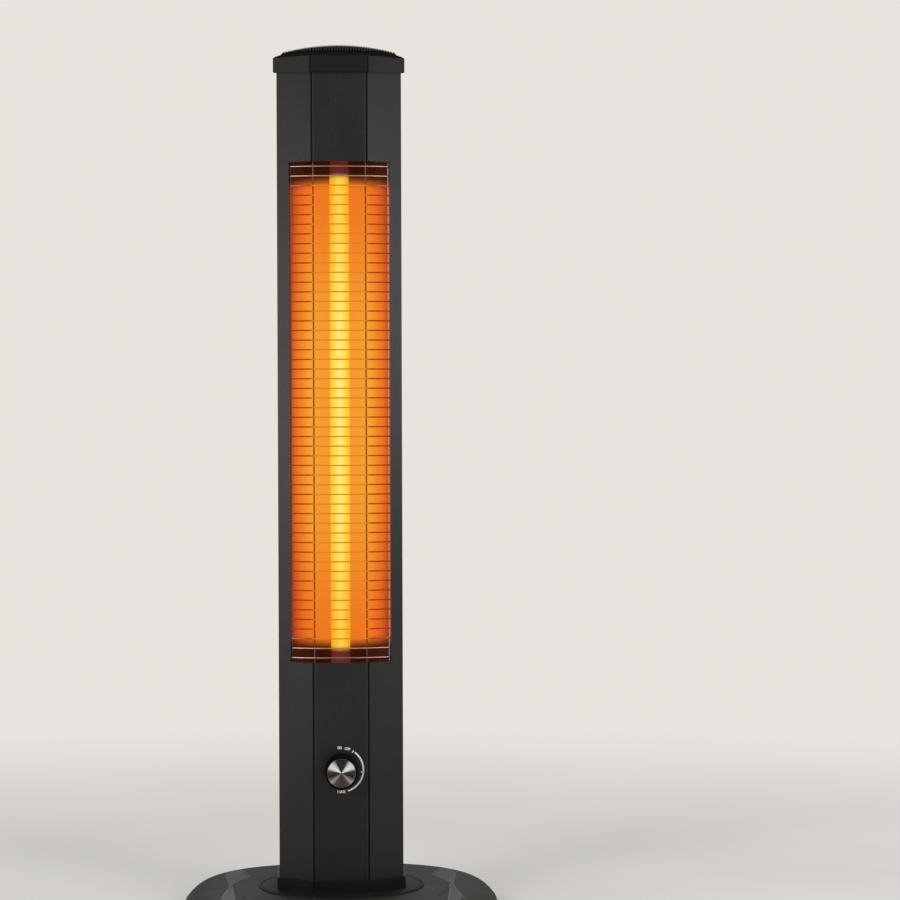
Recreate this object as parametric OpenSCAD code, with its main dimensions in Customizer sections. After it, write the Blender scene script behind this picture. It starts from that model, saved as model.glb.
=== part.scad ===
// Tower heater: a faceted steel column with a caged heating tube, on a wide moulded base.
// Millimetres. +Z is up, the front faces -Y, and the origin is on the floor under the column.

/* [Column] */
// Width of the column between its side walls
body_w = 143; // [138:1:160]
// Width of the flat panel down the middle of the front
panel_w = 63; // [56:1:76]
// From the column's axis forward to the middle panel
body_front = 60; // [56:1:68]
// How far the side facets fall back from the middle panel
facet_recess = 30; // [24:1:34]
// From the column's axis back to the rear cover
body_rear = 55; // [52:1:66]
// Height of the casing, from the foot's flange to its top edge
casing_h = 953.2; // [930:0.2:1000]
// Thickness of the casing's sheet steel
wall = 1.6; // [1.2:0.1:2]
// Width of the groove beside the middle panel
groove_w = 1.4; // [0.8:0.1:2]
// Depth of the groove beside the middle panel
groove_depth = 0.8; // [0.3:0.1:0.9]

/* [Window and guard] */
// Width of the window
window_w = 115.5; // [104:0.5:118]
// Height of the window's sill above the floor
window_z = 295; // [280:1:320]
// From the casing's top edge down to the window's head
window_head = 117; // [90:1:150]
// Diameter of a guard wire
wire_d = 1.5; // [1.2:0.1:2.2]
// Distance from one guard wire to the next
wire_pitch = 11.05; // [8:0.05:16]
// How far the middle of the guard bows forward of its ends
guard_bulge = 12.6; // [8:0.1:13]
// From the column's axis to each inner upright of the guard
upright_x = 30; // [20:1:40]
// Diameter of the rods along the guard's two sides
side_rod_d = 2.5; // [2:0.1:3]

/* [Heating element] */
// Outside diameter of the quartz tube
tube_d = 22; // [16:0.5:24]
// Thickness of the quartz tube
tube_wall = 1.2; // [0.8:0.1:2]
// From the column's axis forward to the tube's axis
tube_forward = 14; // [10:0.5:15]
// From the column's axis back to the middle of the reflector
reflector_back = 16; // [8:1:20]
// Thickness of the reflector sheet
reflector_t = 0.8; // [0.5:0.1:1.2]
// How far the reflector reaches above and below the window
chamber_over = 14; // [12:1:20]
// Number of turns in the heating coil
coil_turns = 48; // [20:1:52]
// Diameter of the coil's wire
coil_wire_d = 1.6; // [1:0.1:1.8]
// Length of unlit tube above the window's sill
cold_end_low = 9; // [4:1:20]
// Length of unlit tube below the window's head
cold_end_high = 16; // [4:1:24]
// Diameter of the ceramic end caps
cap_d = 32; // [30:1:38]
// Length of the ceramic end caps
cap_len = 24; // [20:1:30]

/* [Top cap] */
// How far the top cap overhangs the column
cap_overhang = 4; // [3:0.5:6]
// Height of the cap's skirt below the casing's top edge
skirt_drop = 16; // [13:1:24]
// Height of the dome above the casing's top edge
dome_rise = 21; // [18:1:26]
// Radius of the dome from side to side
dome_radius_x = 245; // [220:5:400]
// Radius of the dome from front to back
dome_radius_y = 137; // [125:1:200]
// Distance from one vent rib to the next
rib_pitch = 3.1; // [2.6:0.1:5]
// Thickness of a vent rib
rib_t = 1.7; // [1.2:0.1:2]
// Depth of a vent rib
rib_depth = 3.4; // [2.6:0.1:4]

/* [Knob] */
// Height of the knob's axis above the floor
knob_z = 172.6; // [120:0.2:230]
// Diameter of the knob's skirt
knob_d = 37.6; // [30:0.2:44]
// Diameter of the knob's metal face
face_d = 33; // [26:0.5:34]
// How far the knob stands out from the panel
knob_len = 29.4; // [22:0.2:34]
// Diameter of the switch's shaft
shaft_d = 6; // [5:0.5:7]

/* [Base] */
// Width and depth of the base
base_w = 365; // [340:1:400]
// Radius of the base's corners in plan
base_corner_r = 142; // [120:1:150]
// Height of the base's top above the floor
base_top = 29.8; // [28:0.2:40]
// Height at which the base's rolled edge starts
base_edge = 9; // [8:0.2:14]
// Width of the rolled edge, measured inwards
base_roll = 42; // [30:1:44]
// Fullness of the rolled edge
roll_power = 2.8; // [2:0.1:4]
// Thickness of the base moulding
base_wall = 3.2; // [2.6:0.1:4]
// Depth of the creased leaf facets
leaf_depth = 2.2; // [0.8:0.1:2.2]
// Height of the rubber feet
foot_h = 4; // [3:0.5:5]
// Diameter of the rubber feet
foot_d = 26; // [18:1:34]
// Diameter of the flange under the column
flange_d = 193; // [186:1:200]
// Thickness of the flange
flange_t = 1.8; // [1.6:0.1:4]
// Height of the collar round the column
collar_h = 13.4; // [8:0.2:24]
// How far the collar stands out from the column
collar_out = 2.4; // [1.6:0.1:3.6]

/* [Rear] */
// Rows of vent slots in each group on the rear cover
vent_rows = 9; // [4:1:12]
// Length of a vent slot
slot_len = 44; // [30:1:48]
// Height of a vent slot
slot_h = 4.4; // [3:0.2:6]
// Radius of the hole through the cable gland
gland_bore_r = 3.8; // [3:0.1:4.4]

/* [Hidden] */
$fn = 64;

// Clearances and small sizes that the pieces share
gap = 0.3;
running = 0.06;
grip = 0.2;
far = 400;
matt_black = "#1d1d1f";
steel = "#b9b9b6";

// Heights of the stack, from the floor up
flange_top = base_top + flange_t;
casing_z0 = flange_top + 0.2;
casing_z1 = casing_z0 + casing_h;
collar_top = flange_top + collar_h;
dome_top = casing_z1 + dome_rise;
window_top = casing_z1 - window_head;
window_h = window_top - window_z;
plate_t = 1.2;
chamber_z0 = window_z - chamber_over;
chamber_z1 = window_top + chamber_over;

// Outline of the column in plan, anticlockwise from the front left
rear_corner = [12, 15];
rear_slope = rear_corner.y / rear_corner.x;
side_y = body_rear - rear_corner.y;
body_points = [
    [-panel_w / 2, -body_front],
    [panel_w / 2, -body_front],
    [body_w / 2, -body_front + facet_recess],
    [body_w / 2, side_y],
    [body_w / 2 - rear_corner.x, body_rear],
    [-body_w / 2 + rear_corner.x, body_rear],
    [-body_w / 2, side_y],
    [-body_w / 2, -body_front + facet_recess],
];

function unit(v) = v / norm(v);
function inset_vertex(a, b, c, t) =
    let (u = unit(b - a), v = unit(c - b), m = [-u.y, u.x], n = [-v.y, v.x])
    b + (m + n) * t / (1 + m * n);
// Outline moved inwards by t, or outwards where t is negative
function outline(t) =
    let (n = len(body_points))
    [for (i = [0:n - 1])
        inset_vertex(body_points[(i + n - 1) % n], body_points[i], body_points[(i + 1) % n], t)];

// Solid column of that outline between two heights
module slab(t, z0, z1) {
    translate([0, 0, z0])
        linear_extrude(z1 - z0)
            polygon(outline(t));
}

// Hollow column between two insets of the outline
module ring(t0, t1, z0, z1) {
    difference() {
        slab(t0, z0, z1);
        slab(t1, z0 - 1, z1 + 1);
    }
}

// Pair of grooves that run down both sides of the middle panel, on a skin moved out by t
module panel_grooves(t, z0, z1) {
    groove_x = outline(-t)[1].x;
    for (s = [-1, 1])
        translate([s * groove_x - groove_w / 2, -body_front - t - 1, z0])
            cube([groove_w, 1 + groove_depth, z1 - z0]);
}

// The side facet's line in plan, moved inwards by t
facet_slope = facet_recess / (body_w / 2 - panel_w / 2);
function facet_y(x, t) = -body_front + (x - panel_w / 2) * facet_slope + t * sqrt(1 + facet_slope ^ 2);

// Column casing: one bent sheet, with the window and two folded flanges for the rear cover
split_y = side_y - 2;
flange_w = 22;
rear_screw_x = body_w / 2 - flange_w + 5;
rear_screw_z = [for (i = [0:3]) casing_z0 + 48 + i * (casing_h - 100) / 3];
bush_d = 10;
module front_casing() {
    color(matt_black)
    difference() {
        union() {
            difference() {
                ring(0, wall, casing_z0, casing_z1);
                translate([-far / 2, split_y, casing_z0 - 1])
                    cube([far, far, casing_h + 2]);
            }
            for (s = [-1, 1])
                translate([s * (body_w / 2 - wall / 2 - flange_w / 2) - flange_w / 2, split_y - wall, casing_z0 + 30])
                    cube([flange_w, wall, casing_h - 60]);
        }
        translate([-window_w / 2, -body_front - 1, window_z])
            cube([window_w, facet_recess + 1 + wall, window_h]);
        panel_grooves(0, casing_z0 - 1, casing_z1 + 1);
        translate([0, -body_front - 1, knob_z])
            rotate([-90, 0, 0])
                cylinder(d = bush_d + gap, h = wall + 2);
        for (s = [-1, 1], z = rear_screw_z)
            translate([s * rear_screw_x, split_y - wall - 1, z])
                rotate([-90, 0, 0])
                    cylinder(d = rear_screw_d - grip, h = wall + 2);
    }
}

// Rear cover: a shallow pan with deep screw wells and two groups of vent slots
rear_screw_d = 3.6;
well_d = 11;
well_seat = 4;
vent_pitch = 11;
vent_x = 27;
vent_group_z = [window_z - 20, chamber_z1 - 50];
gland_z = flange_top + 56;
gland_thread_d = 15;
module slot() {
    for (s = [-1, 1])
        translate([s * (slot_len - slot_h) / 2, 0])
            circle(d = slot_h, $fn = 24);
    square([slot_len - slot_h, slot_h], center = true);
}
module rear_cover() {
    color(matt_black)
    difference() {
        union() {
            difference() {
                ring(0, wall, casing_z0, casing_z1);
                translate([-far / 2, split_y + gap / 2 - far, casing_z0 - 1])
                    cube([far, far, casing_h + 2]);
            }
            for (s = [-1, 1], z = rear_screw_z)
                translate([s * rear_screw_x, split_y + gap / 2, z])
                    rotate([-90, 0, 0])
                        cylinder(d = well_d, h = body_rear - split_y - wall / 2 - gap / 2 - 1);
        }
        for (s = [-1, 1], z = rear_screw_z)
            translate([s * rear_screw_x, split_y - 1, z])
                rotate([-90, 0, 0]) {
                    cylinder(d = rear_screw_d + gap, h = far / 4);
                    translate([0, 0, well_seat + 1])
                        cylinder(d = well_d - 3, h = far / 4);
                }
        for (s = [-1, 1], i = [0:vent_rows - 1], z = vent_group_z)
            translate([s * vent_x, body_rear + 1, z + (i - (vent_rows - 1) / 2) * vent_pitch])
                rotate([90, 0, 0])
                    linear_extrude(wall + 2)
                        slot();
        translate([0, body_rear - wall - 1, gland_z])
            rotate([-90, 0, 0])
                cylinder(d = gland_thread_d + gap, h = wall + 2);
    }
}

module rear_screws() {
    head_t = 2.2;
    color(steel)
    for (s = [-1, 1], z = rear_screw_z)
        translate([s * rear_screw_x, split_y + well_seat, z])
            rotate([90, 0, 0]) {
                cylinder(d = rear_screw_d, h = well_seat + wall + 3);
                translate([0, 0, -head_t])
                    cylinder(d = well_d - 4, h = head_t);
            }
}

// The dome's skin is part of a torus about a level axis under the column, lowered by drop
module dome(drop) {
    inner = dome_radius_x - 70;
    translate([0, 0, dome_top - dome_radius_x])
        rotate([90, 0, 0])
            rotate([0, 0, 60])
                rotate_extrude(angle = 60, $fn = 300)
                    intersection() {
                        translate([dome_radius_x - dome_radius_y, 0])
                            circle(r = dome_radius_y - drop, $fn = 180);
                        translate([inner, -body_rear - 30])
                            square([far, body_front + body_rear + 60]);
                    }
}

// Top cap: overhanging skirt, rounded shoulders and a domed rim round the vent
vent_inset = 5;
ledge_w = 3;
ledge_drop = 4;
skirt_t = 2.2;
cap_roof = 1.3;
seat_z = casing_z1 + 0.2;
ledge_floor = seat_z + cap_roof;
// Rounded shoulder: how far each step lies inwards, and its height above the seat
shoulder = [[0, 2.2], [0.8, 3.2], [3.6, 4.8], [8.2, 6.6]];
// How fast the skirt's lower edge rises towards the back
skirt_rise = 0.1;
module top_cap() {
    skirt_z0 = casing_z1 - skirt_drop;
    color(matt_black)
    difference() {
        union() {
            intersection() {
                hull()
                    for (step = shoulder)
                        slab(-cap_overhang + step[0], skirt_z0, seat_z + step[1]);
                dome(0.6);
            }
            slab(-cap_overhang, skirt_z0, ledge_floor);
        }
        slab(-cap_overhang + skirt_t, skirt_z0 - 1, seat_z);
        slab(vent_inset + ledge_w, skirt_z0, dome_top + 1);
        difference() {
            slab(vent_inset, ledge_floor, dome_top + 1);
            dome(ledge_drop);
        }
        panel_grooves(cap_overhang, skirt_z0 - 1, dome_top);
        translate([-far / 2, 0, 0])
            rotate([90, 0, 90])
                linear_extrude(far)
                    polygon([
                        [-body_front, skirt_z0],
                        [-body_front, skirt_z0 - 1],
                        [far, skirt_z0 - 1],
                        [far, skirt_z0 + skirt_rise * (far + body_front)],
                    ]);
    }
    color(matt_black)
        ring(wall + gap, wall + gap + 1.6, seat_z - 10, seat_z + 1);
}

// Vent grille: a rib every few millimetres, each bent to the dome, on five cross bars and a frame
function dome_height(x) = dome_top - dome_radius_x + sqrt(dome_radius_x ^ 2 - x ^ 2);
vent_edge = vent_inset + gap;
vent_half = body_w / 2 - vent_edge;
rib_count = floor(2 * (vent_half - 2) / rib_pitch) + 1;
function vent_front_y(x) = max(-body_front + vent_edge, facet_y(abs(x) + rib_t / 2, vent_edge));
function vent_rear_y(x) = min(body_rear - vent_edge,
    side_y + (body_w / 2 - abs(x) - rib_t / 2) * rear_slope - vent_edge * sqrt(1 + rear_slope ^ 2));
module vent_rib(x) {
    translate([x - rib_t / 2, 0, 0])
        rotate([90, 0, 90])
            linear_extrude(rib_t)
                intersection() {
                    translate([0, dome_height(x) - dome_radius_y])
                        difference() {
                            circle(r = dome_radius_y, $fn = 180);
                            circle(r = dome_radius_y - rib_depth, $fn = 180);
                        }
                    translate([vent_front_y(x) + gap, ledge_floor + gap])
                        square([vent_rear_y(x) - vent_front_y(x) - 2 * gap, far]);
                }
}
// How far a cross bar reaches sideways before it meets the cap's ledge
function vent_reach(y) = min(vent_half - ledge_w,
    panel_w / 2 + (y + body_front - (vent_inset + ledge_w) * sqrt(1 + facet_slope ^ 2)) / facet_slope - 2 * gap);
bar_sink = 1.2;
bar_depth = 2.6;
module vent_bar(y, w) {
    reach = vent_reach(y - w / 2);
    drop = dome_radius_y - sqrt(dome_radius_y ^ 2 - y ^ 2);
    translate([0, y + w / 2, dome_top - dome_radius_x - drop])
        rotate([90, 0, 0])
            linear_extrude(w)
                intersection() {
                    difference() {
                        circle(r = dome_radius_x - bar_sink, $fn = 180);
                        circle(r = dome_radius_x - bar_sink - bar_depth, $fn = 180);
                    }
                    translate([-reach, 0])
                        square([2 * reach, far]);
                }
}
frame_t = 1.8;
module top_grille() {
    color("#232325")
    union() {
        for (i = [0:rib_count - 1])
            vent_rib((i - (rib_count - 1) / 2) * rib_pitch);
        for (y = [-45, -30, -12, 10, 30])
            vent_bar(y, 3);
        difference() {
            intersection() {
                slab(vent_edge, ledge_floor + gap, dome_top);
                dome(1.2);
            }
            slab(vent_edge + frame_t, casing_z1, dome_top + 1);
            dome(ledge_drop - gap);
        }
    }
}

// Guard: bent wires welded across four uprights, just behind the casing's sheet
guard_end_x = window_w / 2 - 0.1;
guard_end_y = facet_y(guard_end_x, wall + gap + 0.1 + wire_d / 2);
guard_r = (guard_end_x ^ 2 + guard_bulge ^ 2) / (2 * guard_bulge);
guard_axis_y = guard_end_y - guard_bulge + guard_r;
guard_half_angle = asin(guard_end_x / guard_r);
bar_count = floor((window_h - 8) / wire_pitch) + 1;
module guard_bars() {
    first_z = window_z + (window_h - (bar_count - 1) * wire_pitch) / 2;
    color("#8e7f78")
    for (i = [0:bar_count - 1])
        translate([0, guard_axis_y, first_z + i * wire_pitch])
            rotate([0, 0, -90 - guard_half_angle])
                rotate_extrude(angle = 2 * guard_half_angle)
                    translate([guard_r, 0])
                        circle(d = wire_d, $fn = 24);
}
weld = 0.25;
module upright(x, d) {
    on_r = guard_r - wire_d / 2 - d / 2 + weld;
    translate([x, guard_axis_y - sqrt(on_r ^ 2 - x ^ 2), window_z - 9])
        cylinder(d = d, h = window_h + 18, $fn = 32);
}
module guard_uprights() {
    color("#8e7f78")
    for (s = [-1, 1]) {
        upright(s * upright_x, wire_d);
        upright(s * (guard_end_x - side_rod_d / 2), side_rod_d);
    }
}

// Reflector: a parabolic trough with a flange along each edge that lies behind the casing's facet
reflector_half = window_w / 2 + 2.5;
reflector_edge_y = facet_y(reflector_half, wall + gap + reflector_t / 2);
trough_depth = reflector_back - reflector_edge_y;
function trough_y(x) = reflector_back - trough_depth * (x / reflector_half) ^ 2;
function trough_normal(x) = unit([2 * trough_depth * x / reflector_half ^ 2, 1]);
trough_steps = 28;
module reflector() {
    xs = [for (i = [0:trough_steps]) reflector_half * (2 * i / trough_steps - 1)];
    inner = [for (x = xs) [x, trough_y(x)]];
    outer = [for (x = xs) [x, trough_y(x)] + reflector_t * trough_normal(x)];
    flange_end = body_w / 2 - wall - gap - 0.4;
    bend_x = reflector_half + 0.3;
    front = wall + gap;
    back = wall + gap + reflector_t;
    color("#d8b48a")
    translate([0, 0, chamber_z0 + 0.2])
        linear_extrude(chamber_z1 - chamber_z0 - 0.4)
            polygon(concat(
                [[-flange_end, facet_y(flange_end, front)], [-reflector_half, facet_y(reflector_half, front)]],
                inner,
                [[reflector_half, facet_y(reflector_half, front)], [flange_end, facet_y(flange_end, front)]],
                [[flange_end, facet_y(flange_end, back)], [bend_x, facet_y(bend_x, back)]],
                [for (i = [trough_steps - 1:-1:1]) outer[i]],
                [[-bend_x, facet_y(bend_x, back)], [-flange_end, facet_y(flange_end, back)]]
            ));
}

// End plates close the chamber above and below the window and carry the tube's caps
shield_y = reflector_back + 15;
module end_plate(z) {
    difference() {
        intersection() {
            slab(wall + gap, z, z + plate_t);
            translate([-far / 2, shield_y + 2.4 - far, z - 1])
                cube([far, far, plate_t + 2]);
        }
        translate([0, -tube_forward, z - 1])
            cylinder(d = tube_d + 1, h = plate_t + 2);
    }
}
module reflector_end_top() {
    color("#4a3a34")
        end_plate(chamber_z1);
}
module reflector_end_bottom() {
    color("#4a3a34")
        end_plate(chamber_z0 - plate_t);
}

module heat_shield() {
    half = body_w / 2 - wall - gap;
    color(steel)
        translate([-half, shield_y, chamber_z0])
            cube([2 * half, 1, chamber_z1 - chamber_z0]);
}

// Quartz tube, and the ceramic caps that hold its ends outside the end plates
socket_depth = cap_len - 6;
tube_z0 = chamber_z0 - plate_t - socket_depth + 0.4;
tube_z1 = chamber_z1 + plate_t + socket_depth - 0.4;
module quartz_tube() {
    color("#ffb030")
        translate([0, -tube_forward, tube_z0])
            difference() {
                cylinder(d = tube_d, h = tube_z1 - tube_z0);
                translate([0, 0, -1])
                    cylinder(d = tube_d - 2 * tube_wall, h = tube_z1 - tube_z0 + 2);
            }
}
module tube_cap() {
    difference() {
        union() {
            cylinder(d = cap_d - 4, h = cap_len);
            translate([0, 0, cap_len - 5])
                cylinder(d = cap_d, h = 5);
        }
        translate([0, 0, cap_len - socket_depth])
            cylinder(d = tube_d + gap, h = socket_depth + 1);
        translate([0, 0, -1])
            cylinder(d = lead_d + gap, h = cap_len);
    }
}
module tube_cap_bottom() {
    color("#e8e2d4")
        translate([0, -tube_forward, chamber_z0 - plate_t - cap_len])
            tube_cap();
}
module tube_cap_top() {
    color("#e8e2d4")
        translate([0, -tube_forward, chamber_z1 + plate_t + cap_len])
            mirror([0, 0, 1])
                tube_cap();
}

// Mica strip down the middle of the coil
core_z0 = tube_z0 + 0.2;
core_z1 = tube_z1 - 0.2;
coil_r = (tube_d / 2 - tube_wall) - coil_wire_d / 2 - 0.9;
core_t = 1.2;
core_w = 2 * sqrt((coil_r - coil_wire_d / 2 - 0.6) ^ 2 - (core_t / 2) ^ 2);
module mica_core() {
    color("#c9b58c")
        translate([-core_t / 2, -tube_forward - core_w / 2, core_z0])
            cube([core_t, core_w, core_z1 - core_z0]);
}

// A helix as one unbroken tube: its centre points, then a six-sided skin over them
helix_rings = 8;
helix_sides = 6;
lead_steps = [0, 0, 0.12, 0.3, 0.6];
function sum_to(list, n) = n < 0 ? 0 : list[n] + sum_to(list, n - 1);
// Turns run out over a few rings at each end, where the wire straightens along the axis
function helix_angles(turns) =
    let (k = len(lead_steps), n = turns * helix_rings, step = 360 / helix_rings,
        lead = sum_to(lead_steps, k - 1) * step)
    concat(
        [for (i = [0:k - 1]) sum_to(lead_steps, i) * step],
        [for (i = [1:n]) lead + i * step],
        [for (i = [0:k - 1]) lead + n * step + (sum_to(lead_steps, k - 1) - sum_to(lead_steps, k - 2 - i)) * step]
    );
function helix_heights(turns, z0, z1, low, high) =
    let (k = len(lead_steps), n = turns * helix_rings, first = z0 + low * (k - 1) / k, last = z1 - high)
    concat(
        [for (i = [0:k - 1]) z0 + i * low / k],
        [for (i = [1:n]) first + (last - first) * i / n],
        [for (i = [1:k]) last + i * high / k]
    );
// Straight leads of the lengths low and high run on from the turns at the two ends
function helix_path(r, turns, z0, z1, low, high) =
    let (a = helix_angles(turns), z = helix_heights(turns, z0, z1, low, high))
    [for (i = [0:len(a) - 1]) [r * cos(a[i]), r * sin(a[i]), z[i]]];
function ring_points(path, i, r) =
    let (
        n = len(path) - 1,
        along = i == 0 || i == n ? [0, 0, 1] : unit(path[i + 1] - path[i - 1]),
        out = unit([path[i].x, path[i].y, 0]),
        side = unit(cross(along, out)),
        up = cross(side, along)
    )
    [for (j = [0:helix_sides - 1])
        path[i] + r * (cos(j * 360 / helix_sides) * up + sin(j * 360 / helix_sides) * side)];
module wire_skin(path, r) {
    n = len(path);
    m = helix_sides;
    points = [for (i = [0:n - 1]) each ring_points(path, i, r)];
    walls = [for (i = [0:n - 2], j = [0:m - 1])
        let (k = (j + 1) % m)
        each [
            [i * m + j, i * m + k, (i + 1) * m + k],
            [i * m + j, (i + 1) * m + k, (i + 1) * m + j]
        ]];
    start_cap = [for (j = [1:m - 2]) [0, j + 1, j]];
    end_cap = [for (j = [1:m - 2]) [(n - 1) * m, (n - 1) * m + j, (n - 1) * m + j + 1]];
    polyhedron(points = points, faces = concat(walls, start_cap, end_cap));
}
// Least gap between a wire and its own next turns, measured on the path's points
function self_gap(path, d) =
    min([for (i = [0:len(path) - helix_rings], j = [i + helix_rings - 2:min(i + helix_rings + 2, len(path) - 1)])
        norm(path[i] - path[j])]) - d;

coil_path = helix_path(coil_r, coil_turns, core_z0, core_z1,
    window_z + cold_end_low - core_z0, core_z1 - window_top + cold_end_high);
module heating_coil() {
    echo(least_gap_of_heating_coil = self_gap(coil_path, coil_wire_d));
    color("#ff7a1a")
        translate([0, -tube_forward, 0])
            wire_skin(coil_path, coil_wire_d / 2);
}

// Cut-out, terminals and leads
behind_cap_y = cap_d / 2 - tube_forward + 4;
cutout_x = body_w / 2 - 40;
module thermal_cutout() {
    color(steel)
        translate([cutout_x, behind_cap_y, chamber_z1 + plate_t]) {
            cylinder(d = 22, h = 1.2);
            cylinder(d = 15, h = 9);
            for (s = [-1, 1])
                translate([s * 4 - 0.4, -3, 8])
                    cube([0.8, 6, 7]);
        }
}
block_x = body_w / 2 - 46;
block_size = [36, 18, 16];
module terminal_block() {
    top = chamber_z0 - plate_t;
    color("#e8e2d4")
    difference() {
        translate([block_x - block_size.x / 2, behind_cap_y, top - block_size.z])
            cube(block_size);
        for (i = [-1:1])
            translate([block_x + i * 11, behind_cap_y - 1, top - block_size.z / 2])
                rotate([-90, 0, 0])
                    cylinder(d = 5, h = 5, $fn = 32);
    }
}
lead_d = 3;
lead_drop = 14;
lead_rise = 12;
module lead(points) {
    for (i = [0:len(points) - 2]) {
        run = points[i + 1] - points[i];
        translate(points[i])
            rotate([0, acos(run.z / norm(run)), atan2(run.y, run.x)])
                cylinder(d = lead_d, h = norm(run), $fn = 24);
    }
    for (i = [1:len(points) - 2])
        translate(points[i])
            sphere(d = lead_d + 0.5, $fn = 24);
}
module lead_wires() {
    cap_top = chamber_z1 + plate_t + socket_depth + 1;
    cap_low = chamber_z0 - plate_t - socket_depth - 1;
    back_y = shield_y + 8;
    block_low = chamber_z0 - plate_t - block_size.z;
    block_mid = behind_cap_y + block_size.y / 2;
    color("#b02a20") {
        lead([[0, -tube_forward, cap_low], [0, -tube_forward, cap_low - lead_drop],
            [block_x - 11, block_mid, cap_low - lead_drop], [block_x - 11, block_mid, block_low - 0.2]]);
        lead([[0, -tube_forward, cap_top], [0, -tube_forward, cap_top + lead_rise],
            [0, back_y, cap_top + lead_rise], [0, back_y, block_low - 8],
            [block_x, block_mid, block_low - 8], [block_x, block_mid, block_low - 0.2]]);
        lead([[block_x + 11, block_mid, block_low - 0.2], [block_x + 11, block_mid, knob_z],
            [10, switch_back + 20, knob_z], [10, switch_back + 0.2, knob_z]]);
    }
}

// Rotary switch behind the panel: its body, bush and nut, and the shaft that the knob turns
switch_size = [32, 20, 30];
switch_front = -body_front + wall + 0.1;
switch_back = switch_front + switch_size.y + 8;
bush_len = wall + 3.6;
module control_switch() {
    color("#2b2b2e")
    difference() {
        union() {
            translate([-switch_size.x / 2, switch_front, knob_z - switch_size.z / 2])
                cube(switch_size);
            translate([0, switch_front + 1, knob_z])
                rotate([90, 0, 0])
                    cylinder(d = bush_d, h = bush_len + 1);
            for (x = [-10, 0, 10])
                translate([x - 0.4, switch_front + switch_size.y - 1, knob_z - 3])
                    cube([0.8, 9, 6]);
        }
        translate([0, switch_front + 12, knob_z])
            rotate([90, 0, 0])
                cylinder(d = shaft_d + 2 * running, h = 40);
    }
}
nut_t = 2.4;
module control_nut() {
    color(steel)
        translate([0, -body_front, knob_z])
            rotate([90, 0, 0])
                difference() {
                    cylinder(d = 15, h = nut_t, $fn = 6);
                    translate([0, 0, -1])
                        cylinder(d = bush_d + 0.1, h = nut_t + 2);
                }
}
knob_back_gap = 0.8;
shaft_len = knob_len - 8;
module control_shaft() {
    color(steel)
        translate([0, switch_front + 11, knob_z])
            rotate([90, 0, 0])
                cylinder(d = shaft_d, h = switch_front + 11 + body_front + shaft_len);
}

// Knob: black skirt with a pointer notch, and a turned metal face set into its front
knob_wall = 2.4;
knob_cavity = 7;
face_t = 1.4;
notch_w = 1.6;
module knob_body() {
    len = knob_len - knob_back_gap;
    front_d = face_d + 2.4;
    color("#141416")
        translate([0, -body_front - knob_back_gap, knob_z])
            rotate([90, 0, 0])
                difference() {
                    union() {
                        cylinder(d1 = knob_d, d2 = front_d + 1.2, h = len - 2);
                        translate([0, 0, len - 2])
                            cylinder(d1 = front_d + 1.2, d2 = front_d - 0.4, h = 2);
                    }
                    translate([0, 0, -1])
                        cylinder(d = knob_d - 2 * knob_wall, h = knob_cavity + 1);
                    translate([0, 0, -1])
                        cylinder(d = shaft_d + 2 * running, h = shaft_len - knob_back_gap + 1.4);
                    translate([0, 0, len - face_t])
                        cylinder(d = face_d + 0.2, h = face_t + 1);
                    // Pointer notch, which faces the middle of the scale
                    translate([knob_d / 2 - 1.4, -notch_w / 2, len - 9])
                        cube([4, notch_w, 10]);
                }
}
module knob_face() {
    color("#c8c8c6")
        translate([0, -body_front - knob_len, knob_z])
            rotate([-90, 0, 0])
                difference() {
                    cylinder(d = face_d, h = face_t);
                    translate([0, 0, -1])
                        cylinder(d = face_d - 3, h = 1.25);
                }
}

// Cable gland in the rear cover, with its nut inside
gland_out = 12;
module cable_gland() {
    color("#101012")
        translate([0, body_rear, gland_z])
            rotate([-90, 0, 0])
                difference() {
                    union() {
                        translate([0, 0, -wall - 9])
                            cylinder(d = gland_thread_d, h = wall + 10);
                        cylinder(d = gland_thread_d + 7, h = 5, $fn = 6);
                        translate([0, 0, 4])
                            cylinder(d1 = gland_thread_d + 4, d2 = gland_thread_d - 1, h = gland_out - 4);
                        translate([0, 0, -wall - 4.2])
                            cylinder(d = gland_thread_d + 6, h = 4, $fn = 6);
                    }
                    translate([0, 0, -wall - 10])
                        cylinder(r = gland_bore_r, h = wall + gland_out + 11);
                }
}

// Foot of the column: glossy collar, stepped flange and the spigot inside the casing
foot_screw_inset = 12.5;
foot_screw_r = flange_d / 2 - foot_screw_inset;
spigot_h = 26;
foot_screw_d = 4;
module column_foot() {
    color("#0d0d0f")
    difference() {
        union() {
            translate([0, 0, base_top])
                cylinder(d1 = flange_d, d2 = flange_d - 2, h = flange_t);
            ring(-collar_out, -0.2, flange_top - 0.1, collar_top);
            ring(wall + gap, wall + gap + 2.6, flange_top - 0.1, flange_top + spigot_h);
        }
        // Ring groove near the flange's edge
        translate([0, 0, flange_top - 0.7])
            difference() {
                cylinder(d = flange_d - 6, h = 2);
                translate([0, 0, -1])
                    cylinder(d = flange_d - 8, h = 4);
                slab(-collar_out, -2, 4);
            }
        panel_grooves(collar_out, flange_top, collar_top + 1);
        for (a = [45:90:315])
            rotate([0, 0, a])
                translate([foot_screw_r, 0, base_top - 1])
                    cylinder(d = foot_screw_d - grip, h = 1 + flange_t - 0.6);
    }
}
module foot_screws() {
    head_t = 2.4;
    under = base_top - base_wall;
    color(steel)
    for (a = [45:90:315])
        rotate([0, 0, a])
            translate([foot_screw_r, 0, under - head_t]) {
                cylinder(d = foot_screw_d + 3.6, h = head_t);
                cylinder(d = foot_screw_d, h = head_t + base_wall + flange_t - 0.8);
            }
}

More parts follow.
